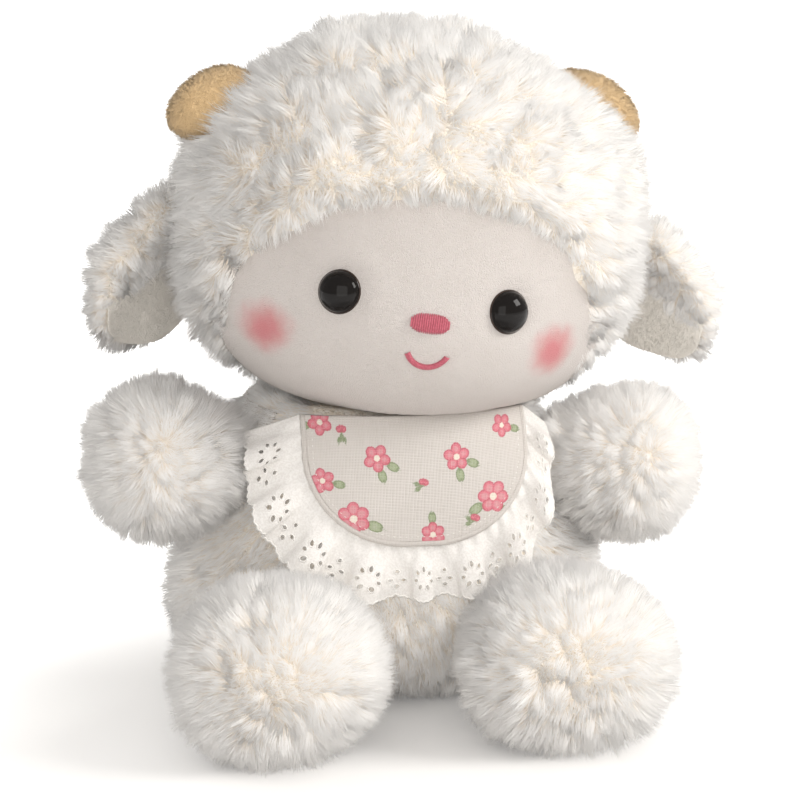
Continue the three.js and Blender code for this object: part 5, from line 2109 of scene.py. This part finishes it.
    def lace_point(self, length: Array, width: Array, lift: Array | float = 0.0) -> Array:
        """Where a place of the flat lace lies once gathered.

        Args:
            length: Millimetres along the flat lace.
            width: Millimetres from its gathered edge.
            lift: Millimetres outside it.

        Returns:
            Array: The points.
        """
        share = length / self.lace_length
        down = np.clip(width / self.lace_width, 0.0, 1.15)
        random = np.random.default_rng(SEED + 8)
        deep = random.uniform(0.75, 1.25, self.folds + 2)
        phase = share * self.folds
        depth = np.interp(phase, np.arange(self.folds + 2), deep)
        angle = 2 * np.pi * phase
        shift = -0.07 * np.sin(2 * angle) * ease(0.05, 0.7, down) / self.folds
        place = np.clip(share - shift, 0.0, 1.0)
        start = np.full(len(place), 2 * (SEAM_GAP + self.piping) - 1.2)
        near_x = self.edge_place(place, start)[0]
        far_x, far_z = self.edge_place(place, start + width)
        flare = far_x - near_x
        across = near_x + flare * np.where(flare < 0, 1.12, 0.5)
        height = far_z - np.abs(flare) * 0.4
        fold = (1 - np.cos(angle)) / 2
        pucker = (1 - np.cos(3 * angle + 1.0)) / 2 * (1 - ease(0.0, 0.5, down))
        out = 0.5 + ease(0.0, 0.8, down) * fold * depth * self.fold_depth + 0.8 * pucker + lift
        return self.on_body(across, height, out)

    def scallop(self, length: Array) -> Array:
        """The lace's width along its scalloped edge."""
        wave = np.abs(np.sin(np.pi * length * self.folds * self.scallops / self.lace_length))
        return self.lace_width - self.scallop_depth * (1.0 - wave)

    def holes(self) -> list[tuple[float, float, float, float, float]]:
        """The eyelets of the flat lace.

        Returns:
            list: Middle along and across, half length, half width and turn of each.
        """
        found = []
        pitch = self.lace_length / self.folds
        for index in range(self.folds):
            for petal in range(self.ring_holes):
                turn = math.tau * petal / self.ring_holes + 0.3
                x = (index + 0.5) * pitch + self.ring_radius * math.cos(turn)
                found.append((x, self.ring_down + self.ring_radius * math.sin(turn), 0.84, 0.54, turn))
        for index in range(1, self.folds):
            for offset, down in ((-1.4, 11.4), (1.4, 11.4), (0.0, 8.6), (0.0, 13.4)):
                found.append((index * pitch + offset, down, 0.62, 0.46, math.atan2(down - 11.0, offset)))
        return found

    def build_lace(self) -> None:
        """Make the gathered eyelet lace with its worked holes and picot edge."""
        step = 0.42
        columns, rows = round(self.lace_length / step), round(self.lace_width / step)
        mesh = bmesh.new()
        bmesh.ops.create_grid(mesh, x_segments=columns, y_segments=rows, size=1.0)
        flat = coordinates(mesh)
        length = (flat[:, 0] + 1) / 2 * self.lace_length
        width = (1 - flat[:, 1]) / 2 * self.scallop(length)
        places = np.stack([length, width], axis=-1)
        depth = np.full(len(places), 9.0)
        slope = np.zeros(places.shape)
        for x, y, long, short, turn in self.holes():
            near = np.nonzero((np.abs(places[:, 0] - x) < 3) & (np.abs(places[:, 1] - y) < 3))[0]
            offset = places[near] - np.array([x, y])
            along_it, across_it = along_and_across(offset, turn)
            distance = (np.hypot(along_it / long, across_it / short) - 1) * min(long, short)
            closer = distance < depth[near]
            depth[near[closer]] = distance[closer]
            slope[near[closer]] = unit(offset[closer])
        mesh.verts.index_update()
        open_faces = [face for face in mesh.faces if np.mean([depth[v.index] for v in face.verts]) < 0]
        snap = np.abs(depth) < step * 0.75
        places[snap] -= slope[snap] * depth[snap][:, None]
        set_coordinates(mesh, self.lace_point(places[:, 0], places[:, 1]))
        bmesh.ops.delete(mesh, geom=open_faces, context="FACES")
        lace = finished("bib_eyelet_lace", mesh, self.wardrobe.lace, outward=False)
        lace.visible_shadow = False  # light passes through thin cotton and so into the eyelets
        self.thicken(lace, 0.3)
        register(lace, "torso", "lace", "bib_lace")
        rims = self.eyelet_rims()
        length = np.linspace(0.2, self.lace_length - 0.2, 620)
        picot = 0.22 * np.sin(length * 2 * np.pi / 1.5)
        path = self.lace_point(length, self.scallop(length) + picot, 0.2)
        edge = threads("bib_lace_picot_edge", [path], 0.42, self.wardrobe.lace_thread, 0.8, 1)
        register(edge, "torso", "lace")

    def eyelet_rims(self) -> bpy.types.Object:
        """The raised stitching round each eyelet.

        Args:

        Returns:
            bpy.types.Object: The rims.
        """
        paths = []
        around = np.linspace(0, math.tau, 13)
        for x, y, long, short, turn in self.holes():
            along_it = (long + 0.16) * np.cos(around)
            across_it = (short + 0.16) * np.sin(around)
            length = x + along_it * math.cos(turn) - across_it * math.sin(turn)
            width = y + along_it * math.sin(turn) + across_it * math.cos(turn)
            paths.append(self.lace_point(length, width, 0.32))
        rims = threads("bib_eyelet_rims", paths, 0.28, self.wardrobe.lace_thread, 1.0, 1)
        return register(rims, "torso", "lace")

    def build_strap(self) -> None:
        """Make the two halves of the neck strap."""
        half = self.strap_width / 2
        middle = self.top - 2.0 - half
        start, overlap = math.radians(58.0), math.radians(13.0)
        angles = np.linspace(start, math.pi + overlap, 70)
        for side in Side:
            sign = side.value
            over = ease(math.pi - 2.2 * overlap, math.pi - overlap, angles) if side is Side.RIGHT else 0 * angles
            rows = []
            for height in np.linspace(middle - half, middle + half, 6):
                width, depth = self.torso.form.section(np.array([height]))
                out = 0.9 - 3.6 * (1 - ease(1.3, 2.2, angles)) + 2.3 * over
                x = sign * (width + out) * np.sin(angles)
                y = self.torso.back_shift - (depth + out) * np.cos(angles)
                rows.append(np.stack([x, y, np.full(len(angles), height)], axis=-1))
            name = f"bib_strap_{side.word}_band"
            piece = self.band(name, np.array(rows), self.wardrobe.linen)
            register(piece, "torso", "linen", f"bib_strap_{side.word}")
            length = float(np.linalg.norm(np.diff(rows[0], axis=0), axis=1).sum()) * MM

    @staticmethod
    def band(name: str, rows: Array, material: bpy.types.Material) -> bpy.types.Object:
        """A flat band through rows of points.

        Args:
            name: The piece's name.
            rows: Points by row and column.
            material: The band's material.

        Returns:
            bpy.types.Object: The band.
        """
        mesh = bmesh.new()
        layer = mesh.loops.layers.uv.new("cloth")
        lines = [[mesh.verts.new(point) for point in row] for row in rows]
        edges = []
        for line in lines:
            edges.append([mesh.edges.new(pair) for pair in zip(line, line[1:])])
        for first, second in zip(edges, edges[1:]):
            bmesh.ops.bridge_loops(mesh, edges=first + second)
        for face in mesh.faces:
            for loop in face.loops:
                spot = loop.vert.co
                loop[layer].uv = (math.atan2(spot.x, spot.y) * 50.0, spot.z)
        bmesh.ops.recalc_face_normals(mesh, faces=mesh.faces)
        piece = finished(name, mesh, material, outward=False)
        solid = piece.modifiers.new("thickness", "SOLIDIFY")
        solid.thickness = 0.9 * MM
        solid.offset = 0.0
        return piece

    def build(self) -> None:
        """Make the whole bib."""
        self.build_strap()
        self.build_panels()
        self.build_piping()
        self.build_lace()


@dataclass(frozen=True)
class Print:
    """A scattered print of small generic flowers, buds and leaves."""

    sprigs: tuple[Sprig, ...] = (
        Sprig(-14.5, 13.0, 4.6, 0.2, 5, (-0.5, -1.3)),
        Sprig(13.0, 13.5, 4.6, 0.9, 5, (-0.4, -1.4)),
        Sprig(-23.0, 33.0, 5.6, 0.5, 6, (-0.35, -2.5)),
        Sprig(25.5, 27.5, 5.4, 0.1, 6, (-0.9, -2.6)),
        Sprig(-33.0, 20.5, 4.2, 0.7, 5, (-0.2,)),
        Sprig(1.0, 22.5, 2.4, 0.3, 4, (-2.6, -3.4)),
        Sprig(4.0, 39.0, 4.2, 0.5, 6, (1.6,)),
        Sprig(-26.0, 5.0, 2.4, 0.0, 4, (-1.2, -1.9)),
        Sprig(30.0, 5.0, 3.6, 0.4, 5, (-0.3,)),
        Sprig(-33.0, 2.0, 4.0, 0.4, 5, (-2.9,)),
        Sprig(18.5, 35.2, 2.4, 0.4, 4, (-2.8, -3.6)),
    )

    @staticmethod
    def lobe(places: Array, middle: tuple[float, float], turn: float, long: float, short: float) -> Array:
        """How far inside an oval lobe places lie.

        Args:
            places: Places across and down.
            middle: The lobe's middle.
            turn: Its direction.
            long: Its half length.
            short: Its half width.

        Returns:
            Array: Millimetres inside, negative outside.
        """
        along_it, across_it = along_and_across(places - np.array(middle), turn)
        return (1 - np.hypot(along_it / long, across_it / short)) * min(long, short)

    def marks(self, places: Array) -> dict[str, Array]:
        """How far inside petals, leaves and hearts places lie.

        Args:
            places: Places across and down on the panel.

        Returns:
            dict[str, Array]: The distances by mark.
        """
        found = {name: np.full(len(places), -9.0) for name in ("petal", "leaf", "heart")}
        for sprig in self.sprigs:
            centre = (sprig.across, sprig.down)
            open_flower = sprig.petals > 4
            lobes = []
            for petal in range(sprig.petals):
                span = math.tau if open_flower else 1.6
                turn = sprig.turn + span * petal / sprig.petals - (0 if open_flower else 2.2)
                far = sprig.size * 0.56
                middle = (centre[0] + far * math.cos(turn), centre[1] + far * math.sin(turn))
                lobes.append(self.lobe(places, middle, turn, sprig.size * 0.46, sprig.size * 0.4))
            lobes = np.sort(np.array(lobes), axis=0)
            seam = np.clip(1.0 - (lobes[-1] - lobes[-2]) / 0.5, 0.0, 1.0) * np.maximum(lobes[-1] - 0.1, 0.0)
            found["petal"] = np.maximum(found["petal"], lobes[-1] - seam)
            if open_flower:
                heart = self.lobe(places, centre, 0.0, sprig.size * 0.24, sprig.size * 0.24)
                found["heart"] = np.maximum(found["heart"], heart)
            for leaf in sprig.leaves:
                far = sprig.size * (1.35 if open_flower else 0.9)
                middle = (centre[0] + far * math.cos(leaf), centre[1] - far * math.sin(leaf))
                foot = (centre[0] * 0.35 + middle[0] * 0.65, centre[1] * 0.35 + middle[1] * 0.65)
                lobe = self.lobe(places, middle, -leaf, sprig.size * 0.52, sprig.size * 0.32)
                vein = self.lobe(places, middle, -leaf, sprig.size * 0.45, 0.3)
                stem = self.lobe(places, foot, -leaf, sprig.size * 0.95, 0.3)
                lobe = np.maximum(lobe - 1.2 * np.clip(vein + 0.25, 0.0, 0.4), stem * (stem < 0.3))
                found["leaf"] = np.maximum(found["leaf"], lobe)
        return found


# Camera, floor and light


@dataclass(frozen=True)
class Lamp:
    """A soft square lamp: its place and side in metres, its power in watts and its colour."""

    name: str
    place: tuple[float, float, float]
    size: float
    power: float
    tint: Colour


@dataclass
class Studio:
    """A pale floor, soft lamps and the camera."""

    LAMPS = (
        Lamp("key_lamp", (1.05, -0.42, 0.78), 0.5, 9.0, (1.0, 0.975, 0.945)),
        Lamp("fill_lamp", (-0.4, -1.55, 0.42), 1.3, 9.3, (1.0, 0.975, 0.945)),
        Lamp("back_lamp", (-0.3, 1.5, 0.9), 1.3, 7.0, (1.0, 0.985, 0.965)),
    )

    azimuth: float = -8.0
    elevation: float = 12.0
    distance: float = 900.0
    target: tuple[float, float, float] = (5.0, 0.0, 101.0)
    lens: float = 112.5
    floor_size: float = 16.0
    room_light: float = 0.72
    room_tint: Colour = (1.0, 0.978, 0.95)

    def build_camera(self) -> None:
        """Place the camera."""
        turn, lift = math.radians(self.azimuth), math.radians(self.elevation)
        back = Vector((math.sin(turn) * math.cos(lift), -math.cos(turn) * math.cos(lift), math.sin(lift)))
        right = Vector((math.cos(turn), math.sin(turn), 0.0))
        up = back.cross(right)
        data = bpy.data.cameras.new("camera")
        data.lens = self.lens
        data.sensor_width = 36.0
        data.clip_start = 0.05
        data.clip_end = 60.0
        camera = bpy.data.objects.new("camera", data)
        place = (Vector(self.target) + back * self.distance) * MM
        camera.matrix_world = Matrix.Translation(place) @ Matrix((right, up, back)).transposed().to_4x4()
        bpy.context.scene.collection.objects.link(camera)
        bpy.context.scene.camera = camera

    def build_floor(self) -> None:
        """Lay the pale floor."""
        mesh = bmesh.new()
        bmesh.ops.create_grid(mesh, x_segments=1, y_segments=1, size=self.floor_size / 2 / MM)
        shader = Shader("pale_floor")
        shader.settings(Base_Color=(0.93, 0.925, 0.92), Roughness=0.9, Specular_IOR_Level=0.0)
        path = shader.node("LightPath")
        seen = shader.sum(path.outputs["Is Camera Ray"], path.outputs["Is Glossy Ray"], "MAXIMUM")
        seen = shader.sum(seen, path.outputs["Is Transmission Ray"], "MAXIMUM")
        places = {0: shader.object_places(), 1: (-0.01, -0.09, 0.0)}
        away = shader.node("VectorMath", places, operation="DISTANCE")
        glow = shader.ranged(away.outputs["Value"], 0.12, 0.27, 0.14, 1.0)
        strength = shader.sum(seen, glow, "MULTIPLY")
        glow = shader.node("Emission", {"Color": (1.0, 0.995, 0.99), "Strength": strength})
        both = shader.node("AddShader", {0: shader.surface.outputs[0], 1: glow.outputs[0]})
        shader.tree.links.new(both.outputs[0], shader.output.inputs["Surface"])
        floor = finished("floor", mesh, shader.material)

    def build_lamp(self, lamp: Lamp) -> None:
        """Hang a lamp that points at the sheep.

        Args:
            lamp: The lamp.
        """
        data = bpy.data.lights.new(lamp.name, "AREA")
        data.shape = "SQUARE"
        data.size = lamp.size
        data.energy = lamp.power
        data.color = lamp.tint
        hung = bpy.data.objects.new(lamp.name, data)
        way = Vector((0.0, 0.0, 0.11)) - Vector(lamp.place)
        hung.matrix_world = Matrix.Translation(lamp.place) @ way.to_track_quat("-Z", "Y").to_matrix().to_4x4()
        bpy.context.scene.collection.objects.link(hung)

    def build_world(self) -> None:
        """Light the room evenly, with a white backdrop."""
        world = bpy.data.worlds.new("room")
        world.use_nodes = True
        tree = world.node_tree
        tree.nodes.clear()
        output = tree.nodes.new("ShaderNodeOutputWorld")
        background = tree.nodes.new("ShaderNodeBackground")
        background.inputs["Color"].default_value = (*self.room_tint, 1.0)
        path = tree.nodes.new("ShaderNodeLightPath")
        strength = tree.nodes.new("ShaderNodeMapRange")
        strength.inputs[3].default_value = self.room_light
        strength.inputs[4].default_value = 1.0
        tree.links.new(path.outputs["Is Camera Ray"], strength.inputs[0])
        tree.links.new(strength.outputs[0], background.inputs["Strength"])
        tree.links.new(background.outputs[0], output.inputs["Surface"])
        bpy.context.scene.world = world

    def build(self) -> None:
        """Make floor, lamps and world, and set the plain view."""
        self.build_floor()
        for lamp in self.LAMPS:
            self.build_lamp(lamp)
        self.build_world()
        bpy.context.scene.view_settings.view_transform = "Standard"


def dress_kept_solids(wardrobe: Wardrobe) -> None:
    """Give the solids that stay their finished materials.

    Args:
        wardrobe: The materials.
    """
    washer, snap = wardrobe.washer, wardrobe.snap
    for node, material in (("left_eye_washer", washer), ("right_eye_washer", washer), ("bib_snap", snap)):
        solid = bpy.data.objects[node]
        solid.data.materials.clear()
        solid.data.materials.append(material)


def main() -> None:
    """Build the scene in order."""
    logging.basicConfig(level=logging.INFO, format="%(name)s: %(message)s")
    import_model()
    studio = Studio()
    studio.build_camera()
    wardrobe = Wardrobe()
    torso = Torso(wardrobe)
    torso.build()
    for side in Side:
        arm(wardrobe, side).build(torso)
        leg(wardrobe, side).build(torso)
    head = Head(wardrobe)
    head.build()
    for side in Side:
        Horn(wardrobe, side, head).build()
        Ear(wardrobe, side, head).build()
    Bib(wardrobe, torso).build()
    dress_kept_solids(wardrobe)
    studio.build()


if __name__ == "__main__":
    main()
